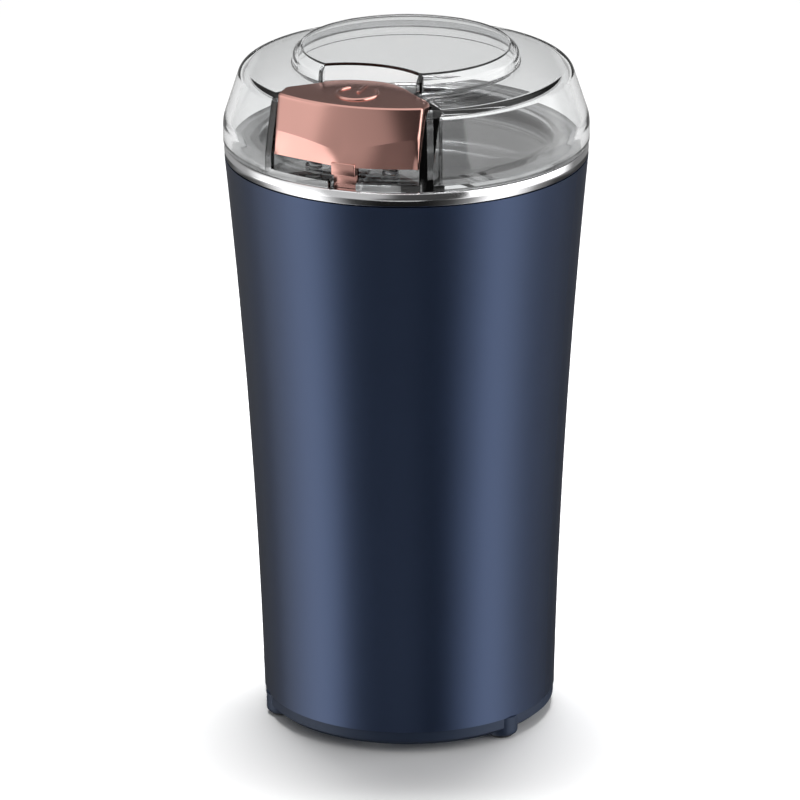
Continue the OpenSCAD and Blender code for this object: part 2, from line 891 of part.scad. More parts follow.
module armature_windings() {
    bevel = winding_h / 4;
    color("#b5622d") {
        for (z = [stack_z - winding_h, stack_top])
            translate([0, 0, z])
            rotate_extrude()
            polygon([[winding_near, 0], [winding_r - bevel, 0], [winding_r, bevel],
                [winding_r, winding_h - bevel], [winding_r - bevel, winding_h], [winding_near, winding_h]]);
        for (i = [0:slot_bars - 1])
            rotate([0, 0, 360 * i / slot_bars])
            translate([slot_hole_ring, 0, stack_z - winding_h / 2])
            cylinder(r = slot_hole_r - fit_gap, h = stack_h + winding_h, $fn = 24);
    }
}

module commutator() {
    color("#b87333")
    translate([0, 0, commutator_z])
    linear_extrude(commutator_h)
    difference() {
        circle(r = commutator_r);
        circle(r = shaft_r + fit_gap);
        for (i = [0:slot_bars - 1])
            rotate([0, 0, 360 * (i + 1 / 2) / slot_bars])
            translate([commutator_r - bar_deep, -bar_gap / 2])
            square([commutator_r, bar_gap]);
    }
}

module thrust_washers() {
    color("#e6e2d4") {
        tube(washer_r, shaft_r + fit_gap, upper_bearing_z - rest_gap - washer_t, washer_t);
        tube(washer_r, shaft_r + fit_gap, bottom_bracket_z + bracket_t + rest_gap, washer_t);
    }
}

module cooling_fan() {
    color("#e8e4d8")
    translate([0, 0, fan_z])
    difference() {
        union() {
            cylinder(r = fan_r, h = fan_plate_t);
            cylinder(r = fan_hub_r, h = fan_h);
            linear_extrude(fan_h)
            intersection() {
                circle(r = fan_r);
                for (i = [0:vane_count - 1])
                    rotate([0, 0, 360 * i / vane_count])
                    translate([fan_r / 2, -vane_bow_r])
                    difference() {
                        circle(r = vane_bow_r);
                        circle(r = vane_bow_r - vane_t);
                        translate([-2 * vane_bow_r - fan_r / 4, -vane_bow_r])
                        square(2 * vane_bow_r);
                        translate([-vane_bow_r, -2 * vane_bow_r])
                        square([2 * vane_bow_r, 2 * vane_bow_r]);
                    }
            }
        }
        translate([0, 0, -cut])
        cylinder(r = shaft_r + fit_gap, h = fan_h + 2 * cut);
    }
}

module blade_hub() {
    color("#c9a24b")
    tube(hub_r, shaft_r + fit_gap, bowl_floor_z + hub_gap, blade_lift - hub_gap);
}

// One wing in side view: flat out to the bend, then rising to the tip
function wing_side(x, rise) = [[0, 0], [x * blade_bend_share, 0], [x, rise], [x, rise + blade_t],
    [x * blade_bend_share, blade_t], [0, blade_t]];

module blade() {
    color("#dfe2e4")
    translate([0, 0, blade_z])
    difference() {
        intersection() {
            for (a = [0, 180])
                rotate([0, 0, a])
                translate([0, blade_w, 0])
                rotate([90, 0, 0])
                linear_extrude(2 * blade_w)
                polygon(wing_side(blade_r, blade_tip_rise));
            translate([0, 0, -cut])
            linear_extrude(blade_tip_rise + blade_t + 2 * cut)
            intersection() {
                circle(r = blade_r);
                for (a = [0, 180])
                    rotate([0, 0, a])
                    polygon([[-hub_r, -blade_w / 2], [hub_r, -blade_w / 2],
                        [blade_r, -blade_w / 2 * blade_tip_share - blade_w / blade_skew],
                        [blade_r, blade_w / 2 * blade_tip_share - blade_w / blade_skew],
                        [hub_r, blade_w / 2], [-hub_r, blade_w / 2]]);
            }
        }
        translate([0, 0, -cut])
        cylinder(r = shaft_r + fit_gap, h = blade_t + 2 * cut);
    }
}

module blade_nut() {
    color("#cfd3d6")
    translate([0, 0, blade_z + blade_t])
    difference() {
        union() {
            cylinder(r = nut_r, h = nut_h, $fn = 6);
            translate([0, 0, nut_h])
            cylinder(r1 = nut_r * cos(30), r2 = nut_r / 2, h = nut_dome);
        }
        translate([0, 0, -cut])
        cylinder(r = shaft_r + fit_gap, h = nut_h + fit_gap + cut);
    }
}

// Switch beside the bowl, and the pin and lever that work it

module switch_body() {
    color("#1c1d20")
    difference() {
        union() {
            block([-switch_w / 2, -switch_v - switch_t, switch_floor_z],
                [switch_w / 2, -switch_v, switch_floor_z + switch_h]);
            translate([0, -switch_v - switch_t / 2, switch_floor_z + switch_h])
            cylinder(r = nub_r, h = nub_h, $fn = 32);
        }
        for (x = [-1, 1])
            translate([x * switch_screw_x, 0, switch_floor_z + switch_screw_up])
            rotate([90, 0, 0])
            cylinder(r = switch_screw_r + fit_gap, h = rebate_r, $fn = 32);
    }
}

module switch_terminals() {
    color("#d3b26a")
    for (i = [-1:1])
        block([i * terminal_pitch - terminal_w / 2, -switch_v - switch_t / 2 - terminal_t / 2,
            switch_floor_z - terminal_drop],
            [i * terminal_pitch + terminal_w / 2, -switch_v - switch_t / 2 + terminal_t / 2, switch_floor_z]);
}

module switch_screws() {
    out = switch_v + switch_t + switch_head_t + fit_gap;
    color("#b8bcc2")
    for (x = [-1, 1])
        translate([x * switch_screw_x, -out, switch_floor_z + switch_screw_up])
        rotate([-90, 0, 0]) {
            cylinder(r = switch_head_r, h = switch_head_t, $fn = 32);
            cylinder(r = switch_screw_r, h = out - bowl_out - carrier_gap - fit_gap, $fn = 32);
        }
}

module switch_pin() {
    left = tongue_side - pin_w / 2;
    right = tongue_side + pin_w / 2;
    color("#d8d4c8") {
        block([left, -pin_v - pin_t, pin_low], [right, -pin_v, pin_top]);
        block([left, -pin_v - pin_t - pin_head_out, pin_top - pin_head_h], [right, -pin_v, pin_top]);
        block([left, -pin_v - pin_t, pin_low], [right, -pin_v + pin_foot_in, pin_low + pin_foot_h]);
    }
}

module switch_lever() {
    color("#c4c8cc")
    translate([lever_pivot_x, -switch_v - switch_t / 2 + lever_w / 2, pivot_z])
    rotate([90, 0, 0])
    linear_extrude(lever_w) {
        circle(r = lever_pivot_r, $fn = 32);
        rotate([0, 0, lever_angle])
        square([lever_reach, lever_t]);
    }
}

// Button and the springs under it

// Plan of the button, grown by g all round and open-ended towards the front
module button_plan(g, front) {
    half_chord = lobe_half_w;
    sag = lobe_end_v - lobe_crown_v;
    lobe_r = (half_chord * half_chord + sag * sag) / (2 * sag);
    sweep = asin(half_chord / lobe_r);
    polygon(concat(
        [[button_half_w + g, -front], [button_half_w + g, -button_tip_v + g / 2]],
        arc(0, -lobe_crown_v - lobe_r, lobe_r + g, 90 - sweep, 90 + sweep, 16),
        [[-button_half_w - g, -button_tip_v + g / 2], [-button_half_w - g, -front]]));
}

// Half section of the button's skin: domed top, small front edge, sloping front
module button_skin(inset) {
    top = button_top - inset;
    low_r = button_low_r - inset;
    front_r = button_front_r - inset;
    edge_z = top - button_dome;
    polygon(concat([[0, button_low - cut], [low_r, button_low - cut], [low_r, button_low]],
        arc(front_r - button_edge, edge_z - button_edge, button_edge, 12, 84, 3),
        [[button_front_r / 2, top - button_dome / 4], [0, top]]));
}

// The tongue: a thin blade that enters the ring's slot, stepped forward above it, and its root
module tongue() {
    left = tongue_side - tongue_w / 2;
    right = tongue_side + tongue_w / 2;
    block([left, -tongue_v - tongue_t, pin_top + rest_gap], [right, -tongue_v, button_low + tongue_root]);
    block([left, -tongue_v - tongue_upper_t, ring_top + press_travel + tongue_step_gap],
        [right, -tongue_v, button_low + tongue_bite]);
}

// The lower front of the button, set back below a chevron line
module lower_facet() {
    intersection() {
        rotate_extrude()
        difference() {
            translate([0, button_low - cut])
            square([button_low_r + cut, button_top - button_low]);
            button_skin(facet_in);
        }
        rotate([90, 0, 0])
        linear_extrude(button_low_r + cut)
        polygon([[-button_half_w - cut, button_low - cut], [button_half_w + cut, button_low - cut],
            [button_half_w + cut, button_low + facet_side_h], [tongue_side, button_low + facet_mid_h],
            [-button_half_w - cut, button_low + facet_side_h]]);
    }
}

module button_cap() {
    color("#c08d86") {
        difference() {
            intersection() {
                rotate_extrude()
                button_skin(0);
                translate([0, 0, button_low])
                linear_extrude(button_top - button_low + cut)
                button_plan(0, button_low_r + cut);
            }
            intersection() {
                rotate_extrude()
                button_skin(button_wall);
                translate([0, 0, button_low - cut])
                linear_extrude(button_top - button_low + cut)
                button_plan(-button_wall, button_low_r);
            }
            lower_facet();
        }
        tongue();
    }
}

module button_springs() {
    color("#c8ccd0")
    for (x = [-1, 1])
        translate([x * spring_side, -spring_v, pocket_floor_top + spring_seat])
        spring(spring_r, spring_wire, spring_len, spring_turns);
}

// Lid: a clear outer shell with the button's pocket, closed below by a clear plug

module lid_side() {
    edge_z = shoulder_z - shoulder_fall;
    slope = atan(lid_slope / (edge_z - lid_edge_round - lid_z - lid_band_h));
    polygon(concat([[0, lid_z], [lid_r, lid_z]],
        arc(lid_r - band_round, lid_z + lid_band_h - band_round * tan(slope / 2), band_round, 0, slope, 4),
        arc(lid_shoulder_r - lid_edge_round, edge_z - lid_edge_round, lid_edge_round, slope, 84),
        [[boss_r, shoulder_z]],
        arc(boss_r - boss_round, boss_top - boss_round, boss_round, 0, 90),
        [[0, boss_top]]));
}

module lid_hollow_side() {
    edge_z = shoulder_z - shoulder_fall;
    wall_r = lid_r - lid_wall;
    crown_r = boss_r - lid_wall;
    crown_z = boss_top - lid_wall;
    polygon(concat([[0, lid_z - cut], [wall_r, lid_z - cut], [wall_r, lid_z + lid_band_h]],
        arc(lid_shoulder_r - lid_edge_round, edge_z - lid_edge_round, lid_edge_round - lid_wall, 20, 84, 3),
        [[crown_r, shoulder_z - lid_wall], [crown_r, crown_z - boss_round / 2],
            [crown_r - boss_round / 2, crown_z], [0, crown_z]]));
}

// What the boss's bite takes away, grown by g and starting at height z
module bite(g, z) {
    translate([0, -bite_crown_v - bite_r, z])
    cylinder(r = bite_r + g, h = boss_top - z + cut);
}

module lid_shell() {
    out = lid_r + cut;
    color([0.86, 0.9, 0.92, 0.35])
    difference() {
        rotate_extrude()
        lid_side();
        bite(0, shoulder_z);
        difference() {
            rotate_extrude()
            lid_hollow_side();
            bite(lid_wall, shoulder_z - lid_wall);
            translate([0, 0, lid_z - 2 * cut])
            linear_extrude(boss_top - lid_z)
            button_plan(pocket_gap + pocket_wall, out);
        }
        translate([0, 0, pocket_floor_top])
        linear_extrude(boss_top - pocket_floor_top + cut)
        button_plan(pocket_gap, out);
        block([tongue_side - tongue_w / 2 - pocket_gap, -out, lid_z - cut],
            [tongue_side + tongue_w / 2 + pocket_gap, -ring_in, pocket_floor_top + cut]);
    }
    color([0.86, 0.9, 0.92, 0.35])
    for (x = [-1, 1])
        translate([x * spring_side, -spring_v, pocket_floor_top - pocket_floor_t / 2])
        cylinder(r = peg_r, h = pocket_floor_t / 2 + peg_h, $fn = 32);
}

module lid_inner() {
    plug_r = mouth_r - inner_gap;
    skirt_in = plug_r - inner_skirt_t;
    flange_r = lid_r - lid_wall - fit_gap;
    top = ring_top - fit_gap;
    plate_z = top - inner_plate_drop;
    color([0.86, 0.9, 0.92, 0.35])
    difference() {
        rotate_extrude()
        polygon([[0, plate_z - inner_plate_t], [skirt_in, plate_z - inner_plate_t],
            [skirt_in, top - inner_skirt_h], [plug_r, top - inner_skirt_h], [plug_r, lid_z],
            [flange_r, lid_z], [flange_r, lid_z + inner_flange_t], [skirt_in, lid_z + inner_flange_t],
            [skirt_in, plate_z], [0, plate_z]]);
        translate([0, 0, top])
        linear_extrude(lid_band_h)
        button_plan(pocket_gap + pocket_wall + fit_gap, lid_r + cut);
    }
}

body_shell();
base_cover();
foot_pads();
base_screws();
cord_gland();
rim_ring();
grinding_bowl();
bowl_gasket();
bowl_carrier();
shaft_seal();
upper_bearing();
lower_bearing();
motor_top_bracket();
motor_bottom_bracket();
stator_core();
field_coils();
brush_holders();
carbon_brushes();
brush_springs();
motor_screws();
motor_dampers();
switch_body();
switch_terminals();
switch_screws();
switch_pin();
switch_lever();
motor_shaft();
armature_core();
armature_windings();
commutator();
thrust_washers();
cooling_fan();
blade_hub();
blade();
blade_nut();
lid_shell();
lid_inner();
button_springs();
button_cap();
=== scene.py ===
"""Looks for an electric spice grinder: painted body, steel rim and bowl, clear lid, plated button.

Run as a script in Blender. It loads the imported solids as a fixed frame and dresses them: surfaces
worked out with numpy where a finer skin is wanted, and procedural finishes everywhere.
Metres, +Z up, the table at z = 0, the button towards -Y.
"""
import math

import bmesh
import bpy
import numpy as np
from mathutils import Matrix, Vector


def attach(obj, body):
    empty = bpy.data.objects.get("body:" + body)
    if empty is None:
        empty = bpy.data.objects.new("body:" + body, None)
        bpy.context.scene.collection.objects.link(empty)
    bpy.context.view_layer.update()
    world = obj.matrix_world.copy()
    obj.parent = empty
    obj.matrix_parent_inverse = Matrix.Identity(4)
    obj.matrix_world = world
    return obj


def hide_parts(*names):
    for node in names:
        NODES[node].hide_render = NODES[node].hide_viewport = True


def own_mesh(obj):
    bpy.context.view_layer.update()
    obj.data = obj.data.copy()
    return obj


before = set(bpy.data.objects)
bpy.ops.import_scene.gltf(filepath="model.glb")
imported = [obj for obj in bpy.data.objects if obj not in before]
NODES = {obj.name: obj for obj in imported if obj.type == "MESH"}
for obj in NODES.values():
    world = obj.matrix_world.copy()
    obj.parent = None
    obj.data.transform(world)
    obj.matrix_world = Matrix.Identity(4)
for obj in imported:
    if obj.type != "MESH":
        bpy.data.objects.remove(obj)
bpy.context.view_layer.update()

bl_info = {
    "name": "Spice Grinder Looks",
    "version": (1, 0, 0),
    "blender": (4, 5, 0),
    "location": "3D View > Sidebar > Grinder",
    "description": "Dresses the packed solids of an electric spice grinder for a render",
    "category": "Object",
}

MM = 0.001

# Places that several pieces share, in millimetres
PAST = 60.0                    # a distance from the axis that lies outside the whole object, for cutters
ABOVE, BELOW = 190, 150        # heights over the lid and under the rim, for cutters
RIM_LOW, RIM_TOP = 153.6, 157.2
TONGUE_SIDE = 0.9              # how far the tongue stands to the right of the middle
TONGUE_HALF = 3.25             # half the tongue's width
SLOT_ROOM = 0.5                # gap at each side of the tongue in its slots
SPRING_SIDES = (-10.5, 10.5)
SPRING_V = 38                  # distance of both springs from the axis, towards the button


# ---------------------------------------------------------------- sizes and colours a user may change

class GrinderStage(bpy.types.PropertyGroup):
    """Camera, lamps and surroundings."""
    azimuth: bpy.props.FloatProperty(
        name="Camera azimuth", description="Turn of the camera round the object, from the button towards +X",
        default=math.radians(21.5), subtype="ANGLE", unit="ROTATION")
    elevation: bpy.props.FloatProperty(
        name="Camera elevation", description="Height of the camera above the horizon as an angle",
        default=0.3415642724, subtype="ANGLE", unit="ROTATION")
    roll: bpy.props.FloatProperty(
        name="Camera roll", description="Roll of the camera about its own axis",
        default=-0.005934, subtype="ANGLE", unit="ROTATION")
    distance: bpy.props.FloatProperty(
        name="Camera distance", description="Distance from the camera to the point it looks at",
        default=1.8, subtype="DISTANCE", unit="LENGTH")
    aim_side: bpy.props.FloatProperty(
        name="Aim to the side", description="Sideways place of the point that the camera looks at",
        default=-0.002082, subtype="DISTANCE", unit="LENGTH")
    aim_height: bpy.props.FloatProperty(
        name="Aim height", description="Height of the point that the camera looks at",
        default=0.084904, subtype="DISTANCE", unit="LENGTH")
    lens: bpy.props.FloatProperty(
        name="Lens", description="Focal length on a 36 mm sensor, in millimetres", default=307.161)
    overhead: bpy.props.FloatProperty(
        name="Overhead lamp", description="Power of the broad lamp above the object, in watts", default=35.0)
    floor_colour: bpy.props.FloatVectorProperty(
        name="Floor colour", description="Colour of the floor", default=(0.86, 0.86, 0.86),
        subtype="COLOR", min=0.0, max=1.0)


class GrinderColours(bpy.types.PropertyGroup):
    """Colours of the main finishes."""
    paint: bpy.props.FloatVectorProperty(
        name="Body paint", description="Colour of the satin paint on the body",
        default=(0.027, 0.049, 0.112), subtype="COLOR", min=0.0, max=1.0)
    cover: bpy.props.FloatVectorProperty(
        name="Base cover", description="Colour of the moulded base cover",
        default=(0.0110, 0.0190, 0.0390), subtype="COLOR", min=0.0, max=1.0)
    rose: bpy.props.FloatVectorProperty(
        name="Button plating", description="Colour of the plated button",
        default=(0.66, 0.36, 0.31), subtype="COLOR", min=0.0, max=1.0)
    steel: bpy.props.FloatVectorProperty(
        name="Polished steel", description="Colour of the rim, the bowl and the blade",
        default=(0.74, 0.74, 0.75), subtype="COLOR", min=0.0, max=1.0)
    clear: bpy.props.FloatVectorProperty(
        name="Clear plastic", description="Colour of the clear plastic of the lid",
        default=(0.965, 0.972, 0.974), subtype="COLOR", min=0.0, max=1.0)


def settings():
    """The scene's own copies of the property groups."""
    scene = bpy.context.scene
    return scene.grinder_stage, scene.grinder_colours


# ---------------------------------------------------------------- finishes

class Finish:
    """A node tree under construction: add() makes a node, sets its values and links its sockets."""

    def __init__(self, owner):
        self.tree = owner.node_tree
        self.tree.nodes.clear()

    def add(self, kind, sockets=None, **props):
        node = self.tree.nodes.new("ShaderNode" + kind)
        for key, value in props.items():
            setattr(node, key, value)
        for key, value in (sockets or {}).items():
            self.put(node.inputs[key], value)
        return node

    def put(self, socket, value):
        if isinstance(value, bpy.types.Node):
            value = next(o for o in value.outputs if o.enabled)
        if isinstance(value, bpy.types.NodeSocket):
            self.tree.links.new(value, socket)
        else:
            socket.default_value = value

    def math(self, operation, a, b=0.0):
        return self.add("Math", {0: a, 1: b}, operation=operation)

    def ramp(self, factor, stops):
        """A straight-lined ramp through (place, grey) stops."""
        node = self.add("ValToRGB", {"Fac": factor})
        elements = node.color_ramp.elements
        while len(elements) > 1:
            elements.remove(elements[-1])
        for i, (at, grey) in enumerate(stops):
            element = elements[0] if i == 0 else elements.new(at)
            element.position = at
            element.color = (grey, grey, grey, 1.0)
        return node


def new_material(name):
    """A material and the empty node tree to fill."""
    material = bpy.data.materials.new(name)
    material.use_nodes = True
    return material, Finish(material)


def place(f):
    """Object coordinates: the same place on the piece in every view."""
    return f.add("TexCoord").outputs["Object"]


def lathe_place(f, lines, drift=1.2):
    """Coordinates for turned metal: (radius, height, angle) with radius and height stretched to fine lines."""
    xyz = f.add("SeparateXYZ", {"Vector": place(f)})
    radius = f.math("SQRT", f.math("ADD", f.math("MULTIPLY", xyz.outputs[0], xyz.outputs[0]),
                                   f.math("MULTIPLY", xyz.outputs[1], xyz.outputs[1])))
    angle = f.math("ARCTAN2", xyz.outputs[0], xyz.outputs[1])
    return f.add("CombineXYZ", {"X": f.math("MULTIPLY", radius, lines),
                                "Y": f.math("MULTIPLY", xyz.outputs[2], lines),
                                "Z": f.math("MULTIPLY", angle, drift)})


def mixed(f, factor, a, b):
    """Colour a where factor is 0, colour b where it is 1."""
    return f.add("Mix", {0: factor, 6: (*a, 1.0), 7: (*b, 1.0)}, data_type="RGBA").outputs[2]


def shade(colour, by):
    """A colour made lighter or darker by a factor."""
    return tuple(min(1.0, c * by) for c in colour)


def principled(f, **sockets):
    """Ends the tree in one Principled surface; names use underscores for spaces."""
    surface = f.add("BsdfPrincipled", {k.replace("_", " "): v for k, v in sockets.items()})
    out = f.add("OutputMaterial")
    f.tree.links.new(surface.outputs[0], out.inputs["Surface"])
    return surface


def plain_finish(name, colour, rough, metal=0.0, grain=400.0, spread=0.12, bump=0.05, depth=0.00002, **more):
    """A moulded, cast or plated finish: two close tones and a fine uneven surface from one noise."""
    material, f = new_material(name)
    noise = f.add("TexNoise", {"Vector": place(f), "Scale": grain, "Detail": 4.0, "Roughness": 0.6})
    colours = mixed(f, noise.outputs["Fac"], shade(colour, 1 - spread), shade(colour, 1 + spread))
    level = f.add("MapRange", {"Value": noise.outputs["Fac"], 3: rough * 0.85, 4: rough * 1.15})
    bumps = f.add("Bump", {"Height": noise.outputs["Fac"], "Strength": bump, "Distance": depth})
    principled(f, Base_Color=colours, Roughness=level, Metallic=metal, Normal=bumps, **more)
    return material


def turned_finish(name, colour, rough, lines=9000.0, bump=0.12, aniso=0.6, depth=0.00001, spread=0.08):
    """Metal turned or spun on a lathe: fine rings about Z in its colour, gloss and surface."""
    material, f = new_material(name)
    rings = f.add("TexNoise", {"Vector": lathe_place(f, lines), "Scale": 1.0, "Detail": 3.0, "Roughness": 0.7})
    colours = mixed(f, rings.outputs["Fac"], shade(colour, 1 - spread), shade(colour, 1 + spread))
    level = f.add("MapRange", {"Value": rings.outputs["Fac"], 3: rough * 0.75, 4: rough * 1.25})
    bumps = f.add("Bump", {"Height": rings.outputs["Fac"], "Strength": bump, "Distance": depth})
    tangent = f.add("Tangent", direction_type="RADIAL", axis="Z")
    principled(f, Base_Color=colours, Roughness=level, Metallic=1.0, Normal=bumps, Tangent=tangent,
               Anisotropic=aniso)
    return material


def paint_finish(colour):
    """Metallic satin paint: fine flakes and a shallow orange peel under a soft sheen."""
    material, f = new_material("navy_paint")
    cloud = f.add("TexNoise", {"Vector": place(f), "Scale": 35.0, "Detail": 3.0})
    flake = f.add("TexNoise", {"Vector": place(f), "Scale": 9000.0, "Detail": 1.0})
    peel = f.add("TexNoise", {"Vector": place(f), "Scale": 1400.0, "Detail": 2.0})
    tone = f.math("ADD", f.math("MULTIPLY", cloud.outputs["Fac"], 0.4),
                  f.math("MULTIPLY", flake.outputs["Fac"], 0.6))
    colours = mixed(f, tone, shade(colour, 0.88), shade(colour, 1.12))
    level = f.add("MapRange", {"Value": cloud.outputs["Fac"], 3: 0.295, 4: 0.335})
    bumps = f.add("Bump", {"Height": peel.outputs["Fac"], "Strength": 0.10, "Distance": 0.00001})
    principled(f, Base_Color=colours, Roughness=level, Normal=bumps, Metallic=0.85, Coat_Weight=0.6,
               Coat_Roughness=0.30)
    return material


def clear_finish(name, colour, rough=0.012, ior=1.49):
    """Clear moulded plastic with a faint flow mark in its gloss and surface."""
    material, f = new_material(name)
    flow = f.add("TexNoise", {"Vector": place(f), "Scale": 28.0, "Detail": 2.0})
    colours = mixed(f, flow.outputs["Fac"], shade(colour, 0.985), shade(colour, 1.01))
    bumps = f.add("Bump", {"Height": flow.outputs["Fac"], "Strength": 0.05, "Distance": 0.0002})
    level = f.add("MapRange", {"Value": flow.outputs["Fac"], 3: rough * 0.7, 4: rough * 1.3})
    principled(f, Base_Color=colours, Roughness=level, Transmission_Weight=1.0, IOR=ior, Normal=bumps)
    return material


def rose_finish(colour):
    """Plated satin metal: a faint cloud in its tone and the soft waviness of plated plastic."""
    material, f = new_material("rose_gold")
    cloud = f.add("TexNoise", {"Vector": place(f), "Scale": 90.0, "Detail": 3.0})
    wave = f.add("TexNoise", {"Vector": place(f), "Scale": 260.0, "Detail": 1.0})
    colours = mixed(f, cloud.outputs["Fac"], shade(colour, 0.96), shade(colour, 1.04))
    level = f.add("MapRange", {"Value": cloud.outputs["Fac"], 3: 0.18, 4: 0.23})
    bumps = f.add("Bump", {"Height": wave.outputs["Fac"], "Strength": 0.05, "Distance": 0.00005})
    principled(f, Base_Color=colours, Roughness=level, Metallic=1.0, Normal=bumps)
    return material


def wound_finish(name, colour, pitch=0.0007):
    """Enamelled wire laid side by side along Z: round ridges at the wire's pitch, with a lacquer gloss. Its colour is
    darker in the grooves between turns and lighter on their crowns: painted shade and painted highlight.
    """
    material, f = new_material(name)
    xyz = f.add("SeparateXYZ", {"Vector": place(f)})
    step = f.math("MULTIPLY", xyz.outputs[2], 2 * math.pi / pitch)
    wave = f.math("ABSOLUTE", f.math("SINE", f.math("MULTIPLY", step, 0.5)))
    noise = f.add("TexNoise", {"Vector": place(f), "Scale": 900.0, "Detail": 2.0})
    # Painted shade in the grooves between turns and a painted highlight on their crowns, taken from the ridge wave.
    colours = mixed(f, f.math("MULTIPLY", wave, noise.outputs["Fac"]), shade(colour, 0.55), shade(colour, 1.25))
    bumps = f.add("Bump", {"Height": wave, "Strength": 0.6, "Distance": 0.0002})
    level = f.add("MapRange", {"Value": noise.outputs["Fac"], 3: 0.22, 4: 0.36})
    principled(f, Base_Color=colours, Roughness=level, Metallic=0.85, Normal=bumps)
    return material


def stacked_finish(name, colour, sheet=0.0005):
    """Thin varnished sheets stacked along Z: fine dark joints between them."""
    material, f = new_material(name)
    xyz = f.add("SeparateXYZ", {"Vector": place(f)})
    joint = f.math("ABSOLUTE", f.math("SINE", f.math("MULTIPLY", xyz.outputs[2], math.pi / sheet)))
    noise = f.add("TexNoise", {"Vector": place(f), "Scale": 250.0, "Detail": 3.0})
    factor = f.math("MULTIPLY", f.math("POWER", joint, 0.4), f.math("ADD", noise.outputs["Fac"], 0.4))
    colours = mixed(f, factor, shade(colour, 0.5), shade(colour, 1.15))
    bumps = f.add("Bump", {"Height": joint, "Strength": 0.35, "Distance": 0.0001})
    level = f.add("MapRange", {"Value": noise.outputs["Fac"], 3: 0.32, 4: 0.5})
    principled(f, Base_Color=colours, Roughness=level, Metallic=0.8, Normal=bumps)
    return material


def dress(material, *nodes):
    """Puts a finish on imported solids; their meshes stay as they are."""
    for node in nodes:
        slots = NODES[node].data.materials
        slots.clear()
        slots.append(material)


# ---------------------------------------------------------------- shapes
# Points are worked out in millimetres, with v towards the button, so that (u, v, z) is (x, -y, z).

def grid_faces(rows, cols, closed):
    """Quads between the neighbours of a grid whose rows are rings. In a closed grid the last row joins the first."""
    i, j = np.meshgrid(np.arange(rows - (not closed)), np.arange(cols), indexing="ij")
    i2, j2 = (i + 1) % rows, (j + 1) % cols
    return np.stack([i * cols + j, i * cols + j2, i2 * cols + j2, i2 * cols + j], -1).reshape(-1, 4)


def ring_mesh(name, *grids, closed=False):
    """One mesh from grids of (u, v, z) points, each (rings, points round a ring, 3). Points that meet are merged, which
    closes the poles, and the faces are turned outwards."""
    points, faces, start = [], [], 0
    for grid in grids:
        rows, cols = grid.shape[:2]
        points.append(grid.reshape(-1, 3) * (MM, -MM, MM))
        faces.append(grid_faces(rows, cols, closed) + start)
        start += rows * cols
    mesh = bpy.data.meshes.new(name)
    mesh.from_pydata(np.concatenate(points), [], np.concatenate(faces).tolist())
    work = bmesh.new()
    work.from_mesh(mesh)
    bmesh.ops.remove_doubles(work, verts=work.verts, dist=2e-6)
    bmesh.ops.dissolve_degenerate(work, edges=work.edges, dist=1e-7)
    bmesh.ops.recalc_face_normals(work, faces=work.faces)
    work.to_mesh(mesh)
    work.free()
    return mesh


def smooth_shaded(mesh, angle):
    """Smooth shading, with edges sharper than the angle in degrees left crisp."""
    mesh.polygons.foreach_set("use_smooth", np.ones(len(mesh.polygons), bool))
    mesh.set_sharp_from_angle(angle=math.radians(angle))


def piece(name, mesh, material, body, stands_for=()):
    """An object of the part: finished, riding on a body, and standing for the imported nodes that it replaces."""
    mesh.materials.append(material)
    made = bpy.data.objects.new(name, mesh)
    bpy.context.scene.collection.objects.link(made)
    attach(made, body)
    if stands_for:
        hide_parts(*stands_for)
    return made


STRAIGHT = 0.01                # a turn in radians below which a corner counts as straight


def rounded(corners, steps=5):
    """A path through (x, y, radius) corners, each turned by a circular arc that touches both its sides. A radius of 0
    keeps the corner."""
    path = [np.array(corners[0][:2], float)[None]]
    for before, (x, y, radius), after in zip(corners, corners[1:-1], corners[2:]):
        corner = np.array((x, y), float)
        to, on = corner - before[:2], np.array(after[:2], float) - corner
        to, on = to / np.hypot(*to), on / np.hypot(*on)
        turn = math.atan2(to[0] * on[1] - to[1] * on[0], to @ on)
        if radius <= 0 or abs(turn) < STRAIGHT:
            path.append(corner[None])
            continue
        reach = radius * math.tan(abs(turn) / 2)
        side = math.copysign(1, turn)
        middle = corner - to * reach + radius * side * np.array((-to[1], to[0]))
        first = corner - to * reach - middle
        angles = math.atan2(first[1], first[0]) + np.linspace(0, turn, steps)
        path.append(middle + radius * np.stack([np.cos(angles), np.sin(angles)], 1))
    path.append(np.array(corners[-1][:2], float)[None])
    return np.concatenate(path)


def turned(profile, around):
    """A (radius, height) profile carried round the axis: (r sin a, r cos a, z)."""
    a = np.linspace(0, 2 * np.pi, around, endpoint=False)
    r, z = profile[:, :1], profile[:, 1:]
    return np.stack([r * np.sin(a), r * np.cos(a), z + 0 * a], -1)


def extruded(outline, low, high):
    """A closed (u, v) outline carried straight up, with both ends drawn in to the outline's middle."""
    ring = np.concatenate([outline, np.zeros((len(outline), 1))], 1)
    centre = ring.mean(0)
    rows = np.stack([centre + 0 * ring, ring, ring, centre + 0 * ring])
    rows[:, :, 2] = np.array([low, low, high, high])[:, None]
    return rows


def tongue_slot(near, far, high):
    """A cutter for the slot in which the button's tongue runs, between two distances from the axis."""
    half = TONGUE_HALF + SLOT_ROOM
    left, right = TONGUE_SIDE - half, TONGUE_SIDE + half
    outline = np.array([[left, near], [right, near], [right, far], [left, far]])
    return ring_mesh("slot", extruded(outline, BELOW, high))


